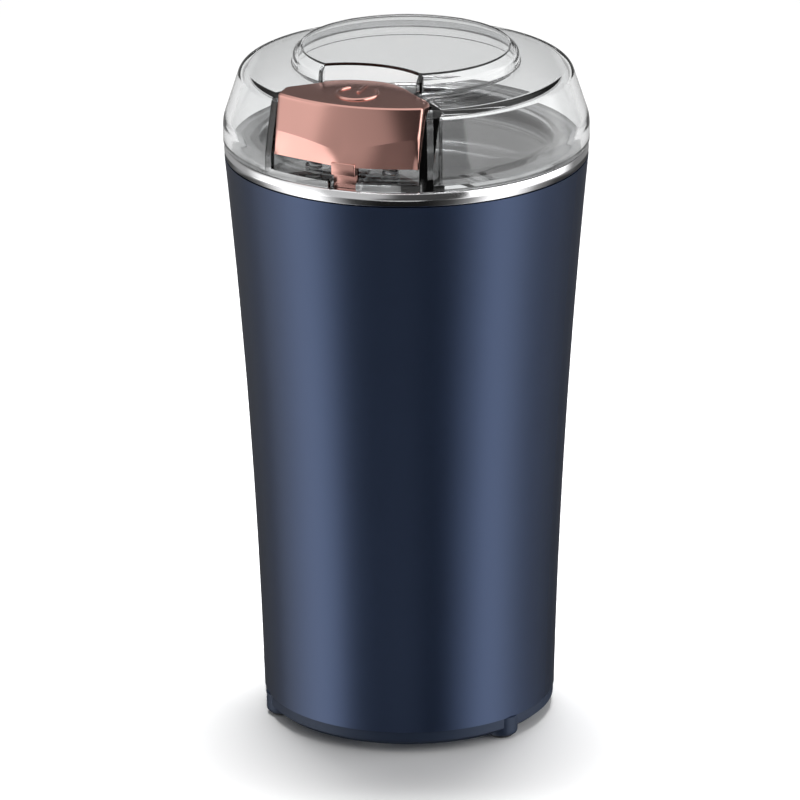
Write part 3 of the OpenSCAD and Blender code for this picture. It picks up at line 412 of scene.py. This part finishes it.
def rounded_block(low, high, radius, steps=4):
    """A box with round edges: each direction of a sphere, times the radius, from the corner on its own side of the
    box."""
    low, high = np.array(low, float), np.array(high, float)
    quarter = np.linspace(0, np.pi / 2, steps)
    around = np.concatenate([quarter + k * np.pi / 2 for k in range(4)])
    lean = np.concatenate([quarter - np.pi / 2, quarter])
    corner = np.repeat([[1, 1], [-1, 1], [-1, -1], [1, -1]], steps, axis=0)
    rise = np.repeat([-1, 1], steps)
    way = np.stack([np.cos(lean)[:, None] * np.cos(around), np.cos(lean)[:, None] * np.sin(around),
                    np.sin(lean)[:, None] + 0 * around], -1)
    side = np.stack([corner[:, 0] + 0 * rise[:, None], corner[:, 1] + 0 * rise[:, None],
                     rise[:, None] + 0 * corner[:, 0]], -1)
    return (low + high) / 2 + side * ((high - low) / 2 - radius) + way * radius


def carved(name, base, *cutters):
    """A solid mesh with others taken from it, one after another. All the meshes that go in are used up."""
    def holder(mesh):
        made = bpy.data.objects.new("carving", mesh)
        bpy.context.scene.collection.objects.link(made)
        return made
    block = holder(base)
    tools = [holder(mesh) for mesh in cutters]
    for tool in tools:
        cut = block.modifiers.new("cut", "BOOLEAN")
        cut.operation, cut.solver, cut.object = "DIFFERENCE", "EXACT", tool
    bpy.context.view_layer.update()
    shown = block.evaluated_get(bpy.context.evaluated_depsgraph_get())
    mesh = bpy.data.meshes.new_from_object(shown)
    mesh.name = name
    for made in (block, *tools):
        old = made.data
        bpy.data.objects.remove(made)
        bpy.data.meshes.remove(old)
    return mesh


# ---------------------------------------------------------------- stage

def camera_axes(stage):
    """Right, up and forward of the camera, and where it stands, from its angles and its aim."""
    a, e, r = stage.azimuth, stage.elevation, stage.roll
    turn = Matrix.Rotation(a, 3, "Z")
    right = Vector((1, 0, 0))
    up = Vector((0, math.sin(e), math.cos(e)))
    forward = Vector((0, math.cos(e), -math.sin(e)))
    stand = Vector((stage.aim_side, 0, stage.aim_height)) - forward * stage.distance
    rolled_right = right * math.cos(r) + up * math.sin(r)
    rolled_up = up * math.cos(r) - right * math.sin(r)
    return [turn @ v for v in (rolled_right, rolled_up, forward, stand)]


class GRINDER_OT_stage(bpy.types.Operator):
    """Make the camera, the floor, the surroundings and the lamps"""
    bl_idname = "grinder.stage"
    bl_label = "Stage"

    def execute(self, context):
        stage, _ = settings()
        scene = context.scene
        scene.view_settings.view_transform = "Standard"
        self.camera(scene, stage)
        self.surroundings(scene, stage)
        self.floor(scene, stage)
        self.lamps(scene, stage)
        return {"FINISHED"}

    def camera(self, scene, stage):
        data = bpy.data.cameras.new("camera")
        data.sensor_width = 36.0
        data.lens = stage.lens
        data.clip_start, data.clip_end = 0.05, 20.0
        camera = bpy.data.objects.new("camera", data)
        right, up, forward, stand = camera_axes(stage)
        camera.matrix_world = Matrix((
            (right.x, up.x, -forward.x, stand.x),
            (right.y, up.y, -forward.y, stand.y),
            (right.z, up.z, -forward.z, stand.z),
            (0, 0, 0, 1)))
        scene.collection.objects.link(camera)
        scene.camera = camera

    def surroundings(self, scene, stage):
        """White to the camera. Reflections see a room, given by direction from the camera's side: dark in front, a soft
        bright wall on each side, and a pale ceiling. Its walls change with height, because the body, the rim, the
        button and the lid each look up at it from another angle. What shines through the lid is paler behind."""
        world = bpy.data.worlds.new("room")
        world.use_nodes = True
        scene.world = world
        f = Finish(world)
        direction = f.add("TexCoord").outputs["Generated"]
        a = stage.azimuth
        brightest, ceiling, ceiling_through, diffuse_loss = 3.0, 1.05, 0.8, 0.55

        def part_along(x, y):
            return f.add("VectorMath", {0: direction, 1: (x, y, 0)}, operation="DOT_PRODUCT").outputs["Value"]

        side, front = part_along(math.cos(a), math.sin(a)), part_along(math.sin(a), -math.cos(a))
        height = f.add("SeparateXYZ", {"Vector": direction}).outputs[2]
        turn = f.math("ADD", f.math("DIVIDE", f.math("ARCTAN2", side, front), 2 * math.pi), 0.5)

        def wall(*stops):
            """Brightness by direction: (degrees to the right of the camera, level) stops."""
            ramp = f.ramp(turn, [((degrees + 180) / 360, level / brightest) for degrees, level in stops])
            return f.math("MULTIPLY", ramp, brightest)

        def soft(value, low, high, below=0.0, above=1.0):
            """A smooth change between two values of something, from one level to another."""
            return f.add("MapRange", {"Value": value, 1: low, 2: high, 3: below, 4: above},
                         interpolation_type="SMOOTHSTEP")

        def rise(low, high):
            return soft(height, math.sin(math.radians(low)), math.sin(math.radians(high)))

        def blend(factor, below, above):
            return f.add("Mix", {0: factor, 2: below, 3: above}).outputs[0]

        def grey(level):
            return f.add("CombineColor", {0: level, 1: level, 2: level})

        low = wall((-180, 0.03), (-130, 0.03), (-110, 0.15), (-92, 0.95), (-75, 1.9), (-62, 1.45), (-49, 0.4),
                   (-37, 0.05), (-20, 0.01), (14, 0.01), (30, 0.05), (44, 0.3), (57, 1.4), (67, 1.85), (79, 1.1),
                   (94, 0.25), (114, 0.04), (180, 0.03))
        edge = wall((-180, 0.05), (-150, 0.08), (-130, 0.3), (-118, 0.4), (-112, 1.3), (-80, 1.9), (-54, 1.7),
                    (-48, 0.5), (-36, 0.2), (-20, 0.4), (-13, 1.1), (8, 1.1), (11, 0.08), (20, 0.05), (30, 0.25),
                    (38, 1.3), (82, 1.4), (100, 0.4), (140, 0.06), (180, 0.05))
        middle = wall((-180, 0.3), (-118, 0.4), (-100, 1.4), (-80, 2.1), (-58, 1.8), (-50, 0.62), (-24, 0.58),
                      (-14, 0.06), (34, 0.05), (42, 1.6), (112, 1.5), (126, 0.2), (180, 0.3))
        high = wall((-180, 0.16), (-140, 0.25), (-110, 0.3), (-96, 1.0), (-58, 1.05), (-52, 0.6), (-16, 0.5),
                    (-6, 0.07), (38, 0.04), (41, 2.9), (112, 2.7), (122, 0.3), (150, 0.1), (180, 0.16))
        room = blend(rise(-24, -22), low, edge)
        room = blend(rise(-19, -17), room, middle)
        room = blend(rise(-7, -2), room, high)
        room = blend(rise(33, 52), room, ceiling)
        colour = grey(room)
        behind = soft(front, 0.25, -0.1, 0.15, 1.0)
        window = soft(f.math("ABSOLUTE", front), 0.5, 0.9, 0.16, 0.5)
        behind = blend(rise(1, 9), behind, window)
        behind = blend(rise(35, 60), behind, ceiling_through)
        through = grey(behind)
        ray = f.add("LightPath")
        dimmed = f.math("SUBTRACT", 1.0, f.math("MULTIPLY", ray.outputs["Is Diffuse Ray"], diffuse_loss))
        unseen = f.add("Background", {"Color": colour, "Strength": dimmed})
        inside = f.add("Background", {"Color": through, "Strength": 1.0})
        seen = f.add("Background", {"Color": (1, 1, 1, 1), "Strength": 1.0})
        pick = f.add("MixShader", {0: ray.outputs["Is Transmission Ray"], 1: unseen, 2: inside})
        pick = f.add("MixShader", {0: ray.outputs["Is Camera Ray"], 1: pick, 2: seen})
        out = f.add("OutputWorld")
        f.tree.links.new(pick.outputs[0], out.inputs["Surface"])

    def floor(self, scene, stage):
        """A wide flat sheet just under the feet, matt near the object and plain white to the eye far from it.
        Reflections look through it at the room."""
        half, drop = 3.0, -0.00002
        shadow_reach, white_reach = 0.2, 0.7
        mesh = bpy.data.meshes.new("floor")
        mesh.from_pydata([(-half, -half, drop), (half, -half, drop), (half, half, drop), (-half, half, drop)], [],
                         [(0, 1, 2, 3)])
        floor = bpy.data.objects.new("floor", mesh)
        scene.collection.objects.link(floor)
        material, f = new_material("floor_white")
        ray = f.add("LightPath")
        noise = f.add("TexNoise", {"Vector": place(f), "Scale": 3.0})
        colour = mixed(f, noise.outputs["Fac"], shade(stage.floor_colour, 0.995), shade(stage.floor_colour, 1.005))
        matt = f.add("BsdfDiffuse", {"Color": colour})
        away = f.add("VectorMath", {0: place(f)}, operation="LENGTH").outputs["Value"]
        far = f.add("MapRange", {"Value": away, 1: shadow_reach, 2: white_reach}, interpolation_type="SMOOTHSTEP")
        direct = f.math("MAXIMUM", ray.outputs["Is Camera Ray"], ray.outputs["Is Transmission Ray"])
        white = f.add("Emission", {"Color": (1, 1, 1, 1), "Strength": 1.0})
        matt = f.add("MixShader", {0: f.math("MULTIPLY", far, direct), 1: matt, 2: white})
        through = f.add("BsdfTransparent")
        pick = f.add("MixShader", {0: ray.outputs["Is Glossy Ray"], 1: matt, 2: through})
        out = f.add("OutputMaterial")
        f.tree.links.new(pick.outputs[0], out.inputs["Surface"])
        mesh.materials.append(material)

    def lamps(self, scene, stage):
        """One broad lamp overhead and a little behind, so that the shadow falls forwards. Reflections don't show it."""
        height, setback, aim_height = 1.5, 0.3, 0.05
        data = bpy.data.lights.new("overhead", "AREA")
        data.shape = "RECTANGLE"
        data.size, data.size_y = 0.7, 0.45
        data.energy = stage.overhead
        lamp = bpy.data.objects.new("overhead", data)
        _, _, forward, _ = camera_axes(stage)
        behind = Vector((forward.x, forward.y, 0)).normalized()
        lamp.location = Vector((0, 0, height)) + behind * setback
        lamp.rotation_euler = (Vector((0, 0, aim_height)) - lamp.location).to_track_quat("-Z", "Y").to_euler()
        lamp.visible_glossy = False
        scene.collection.objects.link(lamp)


# ---------------------------------------------------------------- pieces

class GRINDER_OT_body(bpy.types.Operator):
    """Finish the painted shell, the base cover, its feet, screws and cord gland"""
    bl_idname = "grinder.body"
    bl_label = "Body"

    def execute(self, context):
        _, colours = settings()
        dress(paint_finish(tuple(colours.paint)), "body_shell")
        dress(plain_finish("navy_base", tuple(colours.cover), 0.46, grain=700, spread=0.06, bump=0.12,
                           Specular_Tint=(0.66, 0.76, 1.0, 1.0)), "base_cover")
        dress(plain_finish("rubber", (0.028, 0.028, 0.030), 0.7, grain=1500, bump=0.3),
              "foot_pads", "cord_gland", "shaft_seal", "motor_dampers")
        dress(plain_finish("screw_steel", (0.55, 0.56, 0.58), 0.3, 1.0, grain=900), "base_screws", "motor_screws",
              "switch_screws", "switch_lever", "brush_springs", "motor_shaft", "blade_nut")
        return {"FINISHED"}


class GRINDER_OT_rim(bpy.types.Operator):
    """Make the steel rim and the spun bowl, and finish the blade and what carries the bowl"""
    bl_idname = "grinder.rim"
    bl_label = "Rim and bowl"

    def execute(self, context):
        _, colours = settings()
        steel = tuple(colours.steel)
        self.rim(steel)
        self.bowl(steel)
        dress(plain_finish("silicone", (0.3, 0.31, 0.33), 0.55, grain=1200), "bowl_gasket")
        dress(plain_finish("frame_plastic", (0.035, 0.037, 0.04), 0.5, grain=1000, bump=0.15), "bowl_carrier")
        dress(plain_finish("blade_steel", shade(steel, 1.05), 0.24, 1.0, grain=700), "blade")
        dress(plain_finish("brass", (0.6, 0.42, 0.15), 0.3, 1.0, grain=900), "blade_hub")
        return {"FINISHED"}

    def rim(self, steel):
        """A turned band: flat below, a slightly swollen face, a round upper edge, and the tongue's slot."""
        inside = 43.2
        section = rounded([(inside, 155.0, 0), (inside, RIM_LOW, 0.1), (47.3, RIM_LOW, 0.25), (47.47, 155.4, 3),
                           (47.25, RIM_TOP, 0.55), (inside, RIM_TOP, 0.2), (inside, 155.4, 0)], 7)
        mesh = carved("rim_band", ring_mesh("band", turned(section, 240), closed=True),
                      tongue_slot(42, 45.3, 160))
        smooth_shaded(mesh, 50)
        metal = turned_finish("rim_steel", shade(steel, 1.15), 0.12, lines=14000, bump=0.05)
        piece("rim_band", mesh, metal, "base", ("rim_ring",))

    def bowl(self, steel):
        """A deep bowl spun from thin sheet: turned lip, wide mouth, step, and a round corner at its floor."""
        hole, bowl, mouth, lip, sheet = 4.3, 33.2, 40.4, 43.0, 0.8
        floor, step = 113.8, 143.0
        section = rounded([
            (hole, floor - sheet, 0), (bowl + sheet, floor - sheet, 5.8), (bowl + sheet, step - sheet, 0.6),
            (mouth + sheet, step - sheet, 2.3), (mouth + sheet, RIM_TOP - sheet, 0.5), (lip, RIM_TOP - sheet, 0),
            (lip, RIM_TOP, 0.1), (mouth, RIM_TOP, 0.9), (mouth, step, 1.5), (bowl, step, 1.4), (bowl, floor, 5.0),
            (hole, floor, 0)], 9)
        mesh = ring_mesh("spun_bowl", turned(section, 240), closed=True)
        smooth_shaded(mesh, 50)
        # Painted shade: the polished steel colour is cut to about half, so that the bowl's inside looks dark under the
        # lid.
        metal = turned_finish("bowl_steel", shade(steel, 0.52), 0.2, lines=5000, bump=0.15, aniso=0.4)
        piece("spun_bowl", mesh, metal, "base", ("grinding_bowl",))


class GRINDER_OT_motor(bpy.types.Operator):
    """Finish the motor: bearings, brackets, laminations, windings, brushes and fan"""
    bl_idname = "grinder.motor"
    bl_label = "Motor"

    def execute(self, context):
        dress(turned_finish("bronze", (0.45, 0.3, 0.14), 0.42, lines=5000), "upper_bearing", "lower_bearing")
        dress(plain_finish("bracket_metal", (0.45, 0.46, 0.48), 0.45, 0.9, grain=600, bump=0.2),
              "motor_top_bracket", "motor_bottom_bracket")
        dress(stacked_finish("core_steel", (0.17, 0.18, 0.2)), "stator_core", "armature_core")
        dress(wound_finish("copper_wire", (0.5, 0.2, 0.08)), "field_coils", "armature_windings")
        dress(bpy.data.materials["brass"], "brush_holders", "switch_terminals")
        dress(plain_finish("carbon", (0.03, 0.03, 0.032), 0.5, grain=1500, bump=0.2), "carbon_brushes")
        dress(turned_finish("copper_bars", (0.52, 0.24, 0.12), 0.3, lines=8000), "commutator")
        dress(plain_finish("pin_plastic", (0.75, 0.72, 0.64), 0.4, grain=800),
              "thrust_washers", "cooling_fan", "switch_pin")
        dress(plain_finish("switch_plastic", (0.02, 0.02, 0.022), 0.35, grain=900), "switch_body")
        return {"FINISHED"}


class GRINDER_OT_lid(bpy.types.Operator):
    """Make the clear lid: band, cone, round shoulder, raised boss with a bite, and the button's pocket"""
    bl_idname = "grinder.lid"
    bl_label = "Clear lid"

    top, shoulder, pocket_floor = 182.9, 178.3, 159.45
    roof, ledge = 182.0, 175.9                 # the hollow's heights under the boss and under the shoulder
    pocket_wall, pocket_gap, bite_wall = 2.7, 0.5, 1.0
    bite_radius, bite_half, bite_centre = 22.5, 13.0, 42.46

    def plan(self, grow, low):
        """A cutter of the button's plan, grown all round and open towards the front, from a height up past the lid."""
        maker = GRINDER_OT_button
        lobe_r, sweep = lobe_arc()
        a = np.linspace(sweep, -sweep, 40)
        arc = np.stack([(lobe_r + grow) * np.sin(a), maker.crown + lobe_r - (lobe_r + grow) * np.cos(a)], -1)
        half, back = maker.half + grow, maker.back - grow / 2
        outline = np.concatenate([[[half, PAST], [half, back]], arc, [[-half, back], [-half, PAST]]])
        return ring_mesh("pocket", extruded(outline, low, ABOVE))

    def bite(self, grow, low):
        """A cutter for the bite out of the boss, from a height up past the lid: an arc of a circle that stands in
        front of the boss, between two straight sides."""
        reach, half = self.bite_radius + grow, self.bite_half + grow
        sweep = math.asin(half / reach)
        a = np.linspace(sweep, -sweep, 120)
        arc = np.stack([reach * np.sin(a), self.bite_centre - reach * np.cos(a)], -1)
        return ring_mesh("bite", extruded(np.concatenate([[[half, PAST]], arc, [[-half, PAST]]]), low, ABOVE))

    def execute(self, context):
        _, colours = settings()
        clear = clear_finish("clear_lid", tuple(colours.clear))
        outside, inside, underside, band = 47.66, 45.26, 157.45, 163.1
        outer = rounded([(0, underside, 0), (outside, underside, 0.25), (outside, band, 9), (43.0, 177.2, 3.3),
                         (29.56, self.shoulder, 0.5), (29.3, 181.0, 1.8), (27.2, self.top, 0.35),
                         (26.6, self.top, 0), (0, self.top, 0)], 12)
        inner = rounded([(0, BELOW, 0), (inside, BELOW, 0), (inside, band, 7), (41.3, 174.9, 1.1),
                         (28.5, self.ledge, 0.8), (28.3, 180.5, 1.2), (26.8, self.roof, 0.3),
                         (26.2, self.roof, 0), (0, self.roof, 0)], 10)
        hollow = carved("lid_hollow", ring_mesh("hollow", turned(inner, 360)),
                        self.plan(self.pocket_wall, BELOW - 10), self.bite(self.bite_wall, self.ledge))
        mesh = carved("lid_clear", ring_mesh("lid_body", turned(outer, 360)), hollow, self.bite(0, self.shoulder),
                      self.plan(self.pocket_gap, self.pocket_floor), tongue_slot(43.2, PAST, 162))
        smooth_shaded(mesh, 38)
        piece("lid_clear_shell", mesh, clear, "lid", ("lid_shell",))
        peg_r, peg_low, peg_top = 1.5, 158.6, 162.4
        peg = turned(rounded([(0, peg_low, 0), (peg_r, peg_low, 0), (peg_r, peg_top, 0.4), (0, peg_top, 0)]), 32)
        pegs = ring_mesh("lid_pegs", *(peg + (side, SPRING_V, 0) for side in SPRING_SIDES))
        smooth_shaded(pegs, 40)
        piece("lid_spring_pegs", pegs, clear, "lid")
        dress(clear, "lid_inner")
        return {"FINISHED"}


def lobe_arc():
    """Radius of the lobe at the button's back, and the angle from its crown to its ends."""
    maker = GRINDER_OT_button
    bow = maker.lobe_end - maker.crown
    radius = (maker.lobe_half ** 2 + bow ** 2) / (2 * bow)
    return radius, math.asin(maker.lobe_half / radius)


class GRINDER_OT_button(bpy.types.Operator):
    """Make the plated button: sloping front with a chevron crease, domed top with a raised sign, tongue"""
    bl_idname = "grinder.button"
    bl_label = "Button"

    low, brow, top = 163.25, 178.0, 179.7      # lower edge, start of the round upper edge, dome over the axis
    half, back = 19.8, 34.0                    # half the width, and how near the axis the straight sides end
    lobe_half, lobe_end, crown = 13.0, 28.6, 22.8
    front_points = 132                         # points round the outline that lie on the front
    front_low_r, front_slope = 47.4, 3.4       # distance of the front's lower edge from the axis, and its lean
    crease_left, crease_point, crease_right = 169.5, 166.8, 171.2
    arch_left, arch_right = 0.95, 0.5          # how far each half of the crease bows up
    edge_r = 0.65                              # how far the round upper edge draws in
    dome_reach = 43.3                          # distance from the axis at which the dome has fallen by 1 mm

    def front_radius(self, z):
        """The front's distance from the axis, which falls evenly from the lower edge to the upper one."""
        return self.front_low_r - self.front_slope * (z - self.low) / (self.brow - self.low)

    def top_height(self, u, v):
        """A shallow dome about the body's axis: its height falls with the square of the distance."""
        return self.top - (u * u + v * v) / self.dome_reach ** 2

    def outline(self, z):
        """The plan at each height: an arc at the front, straight sides, slanted corners and a round lobe at the back.
        Gives u and v as (rows, points), starting at the front's left."""
        rows = z.shape[0]
        lobe_r, sweep = lobe_arc()
        u_front = np.linspace(-self.half, self.half, self.front_points, endpoint=False)
        side = np.linspace(0, 1, 40, endpoint=False)
        slant = np.linspace(0, 1, 28, endpoint=False)
        arc = np.linspace(sweep, -sweep, 96, endpoint=False)
        r = self.front_radius(z[:, :1])
        corner = np.sqrt(r * r - self.half ** 2)
        flat = lambda values: np.broadcast_to(values, (rows, len(values)))
        u = np.concatenate([
            flat(u_front), flat(self.half + 0 * side), flat(self.half + (self.lobe_half - self.half) * slant),
            flat(lobe_r * np.sin(arc)), flat(-self.lobe_half - (self.half - self.lobe_half) * slant),
            flat(-self.half + 0 * side)], 1)
        v = np.concatenate([
            np.sqrt(r * r - u_front ** 2), corner + (self.back - corner) * side,
            flat(self.back + (self.lobe_end - self.back) * slant), flat(self.crown + lobe_r * (1 - np.cos(arc))),
            flat(self.lobe_end + (self.back - self.lobe_end) * slant), self.back + (corner - self.back) * side], 1)
        return u, v

    def softened(self, values, reach=6):
        """Each value averaged with its neighbours along the outline, under a bell-shaped weight, which rounds the
        upright corners."""
        weights = np.hanning(2 * reach + 3)[1:-1]
        return sum(w * np.roll(values, k - reach, axis=1) for k, w in enumerate(weights)) / weights.sum()

    def skin(self):
        """Rows start at the middle of the hollow's ceiling, run out and down its wall, turn round the lower edge, and
        go up the side, round the top edge and in over the dome."""
        mid_v, ceiling, lean = 34.5, 177.2, 0.16
        bulge_r, bulge_left, bulge_right = 47, 0.9, 0.25
        u0, _ = self.outline(np.full((1, 1), self.low))
        on_front = np.arange(u0.shape[1]) < self.front_points
        left = u0 < 0
        share = np.clip(np.where(left, (u0 + self.half) / self.half, u0 / self.half), 0, 1)
        arch = 4 * share * (1 - share)
        crease = np.where(
            left, self.crease_left + (self.crease_point - self.crease_left) * share + self.arch_left * arch,
            self.crease_point + (self.crease_right - self.crease_point) * share + self.arch_right * arch)
        crease = np.where(on_front, crease, np.where(u0 > 0, self.crease_right, self.crease_left))
        lower = np.linspace(0, 1, 15)[:, None]
        upper = np.linspace(0, 1, 14)[1:, None]
        z = np.concatenate([self.low + (crease - self.low) * lower, crease + (self.brow - crease) * upper])
        u, v = self.outline(z)
        depth = np.clip((crease - z) / (crease - self.low), 0, 1)
        bulge = np.where(left, bulge_left, bulge_right) * share * (1 - share) * self.half ** 2 / (2 * bulge_r)
        v = v - np.where(on_front, bulge * depth + lean * (crease - z) * (crease > z), 0)
        u, v, z = self.softened(u), self.softened(v), self.softened(z)
        along = np.roll(u, -1, 1) - np.roll(u, 1, 1), np.roll(v, -1, 1) - np.roll(v, 1, 1)
        size = np.hypot(*along)
        inward = along[1] / size, -along[0] / size
        turn = np.linspace(0, np.pi / 2, 7)[1:, None]
        edge_u = u[-1] + self.edge_r * (1 - np.cos(turn)) * inward[0][-1]
        edge_v = v[-1] + self.edge_r * (1 - np.cos(turn)) * inward[1][-1]
        edge_z = self.brow + (self.top_height(edge_u, edge_v) - self.brow) * np.sin(turn)
        to_middle = 1 - np.linspace(0, 1, 22)[1:, None]
        dome_u = edge_u[-1] * to_middle
        dome_v = mid_v + (edge_v[-1] - mid_v) * to_middle
        dome_z = self.top_height(dome_u, dome_v)
        spread = np.array([0, 0.5, 0.97, 1, 1, 1])[:, None]
        hollow_u = 0.92 * spread * u[0]
        hollow_v = mid_v + 0.85 * spread * (v[0] - mid_v)
        hollow_z = np.array([ceiling, ceiling, ceiling, ceiling - 0.6, 170, self.low])[:, None] + 0 * hollow_u
        hollow_v = hollow_v - (hollow_z - self.low) * 0.2 * spread * (hollow_v > mid_v)
        return np.concatenate([np.stack([hollow_u, hollow_v, hollow_z], -1), np.stack([u, v, z], -1),
                               np.stack([edge_u, edge_v, edge_z], -1), np.stack([dome_u, dome_v, dome_z], -1)])

    def wire(self, path, width=1.1, height=0.5):
        """A low rounded ridge that follows a (u, v) path on the dome: across it an ellipse, half sunk in the dome,
        which closes quickly at both ends."""
        across = np.linspace(0, 2 * np.pi, 14, endpoint=False)
        along = np.gradient(path, axis=0)
        along /= np.hypot(*along.T)[:, None]
        normal = np.stack([-along[:, 1], along[:, 0]], -1)
        swell = np.sqrt(np.clip(1 - np.linspace(-1, 1, len(path)) ** 24, 0, 1))
        flat = path[:, None] + normal[:, None] * (width / 2 * np.cos(across) * swell[:, None])[:, :, None]
        z = self.top_height(flat[..., 0], flat[..., 1]) + height * swell[:, None] * np.sin(across)
        return np.concatenate([flat, z[..., None]], -1)

    def coil(self, low, high, side, radius=2.0, wire=0.3, turns=7):
        """Round wire along a helix, its end turns nearly closed: the wire's circle stands across the path, and both
        ends are drawn in to the wire's middle."""
        end, per_turn = 3.2 * wire, 36
        t = np.linspace(0, turns, turns * per_turn + 1)
        climb = np.interp(t, [0, 1, turns - 1, turns], [low + wire, low + end, high - end, high - wire])
        turn, across = 2 * np.pi * t[:, None], np.linspace(0, 2 * np.pi, 12, endpoint=False)
        thick = np.full((len(t) + 2, 1), wire)
        thick[[0, -1]] = 0
        turn, climb = turn[[0, *range(len(t)), -1]], climb[[0, *range(len(t)), -1]]
        reach = radius + thick * np.cos(across)
        return np.stack([side + reach * np.cos(turn), SPRING_V + reach * np.sin(turn),
                         climb[:, None] + thick * np.sin(across)], -1)

    def springs(self):
        """The two springs under the cap."""
        low, high, travel = 159.55, 176.8, 3.3
        mesh = ring_mesh("coils", *(self.coil(low, high, side) for side in SPRING_SIDES))
        smooth_shaded(mesh, 50)
        made = piece("button_coils", mesh, bpy.data.materials["screw_steel"], "lid", ("button_springs",))
        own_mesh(made)

    def execute(self, context):
        _, colours = settings()
        self.springs()
        metal = rose_finish(tuple(colours.rose))
        cap = ring_mesh("button_skin", self.skin())
        smooth_shaded(cap, 7)
        piece("button_cap_plated", cap, metal, "button", ("button_cap",))
        sign_v, sign_r = 34.0, 5.1
        around = np.radians(np.linspace(38, 322, 60))
        ring = np.stack([sign_r * np.sin(around), sign_v - sign_r * np.cos(around)], -1)
        bar = np.stack([np.zeros(24), sign_v - np.linspace(0.4, 6.6, 24)], -1)
        sign = ring_mesh("button_sign", self.wire(ring), self.wire(bar))
        smooth_shaded(sign, 50)
        piece("power_sign", sign, metal, "button")
        left, right, behind = TONGUE_SIDE - TONGUE_HALF, TONGUE_SIDE + TONGUE_HALF, 43.6
        tongue = ring_mesh("tongue", *(
            rounded_block((left, behind, low), (right, front, high), radius)
            for low, high, front, radius in ((153.8, 167, 45.05, 0.25), (160.8, 164.2, 46.75, 0.3),
                                             (158.0, 161.2, 45.15, 0.3))))
        smooth_shaded(tongue, 40)
        piece("button_tongue", tongue, metal, "button")
        return {"FINISHED"}


class GRINDER_PT_panel(bpy.types.Panel):
    """The steps in the order in which they run"""
    bl_idname = "GRINDER_PT_panel"
    bl_label = "Grinder"
    bl_space_type = "VIEW_3D"
    bl_region_type = "UI"
    bl_category = "Grinder"

    def draw(self, context):
        for step in STEPS:
            self.layout.operator(step.bl_idname)
        for group in (context.scene.grinder_stage, context.scene.grinder_colours):
            for name in group.bl_rna.properties.keys():
                if name not in ("rna_type", "name"):
                    self.layout.prop(group, name)


STEPS = (GRINDER_OT_stage, GRINDER_OT_body, GRINDER_OT_rim, GRINDER_OT_motor, GRINDER_OT_lid, GRINDER_OT_button)
CLASSES = (GrinderStage, GrinderColours, *STEPS, GRINDER_PT_panel)


def register():
    for cls in CLASSES:
        bpy.utils.register_class(cls)
    bpy.types.Scene.grinder_stage = bpy.props.PointerProperty(type=GrinderStage)
    bpy.types.Scene.grinder_colours = bpy.props.PointerProperty(type=GrinderColours)


def unregister():
    del bpy.types.Scene.grinder_colours
    del bpy.types.Scene.grinder_stage
    for cls in reversed(CLASSES):
        bpy.utils.unregister_class(cls)


def main():
    """Takes all the steps."""
    register()
    for step in STEPS:
        group, name = step.bl_idname.split(".")
        getattr(getattr(bpy.ops, group), name)()


if __name__ == "__main__":
    main()
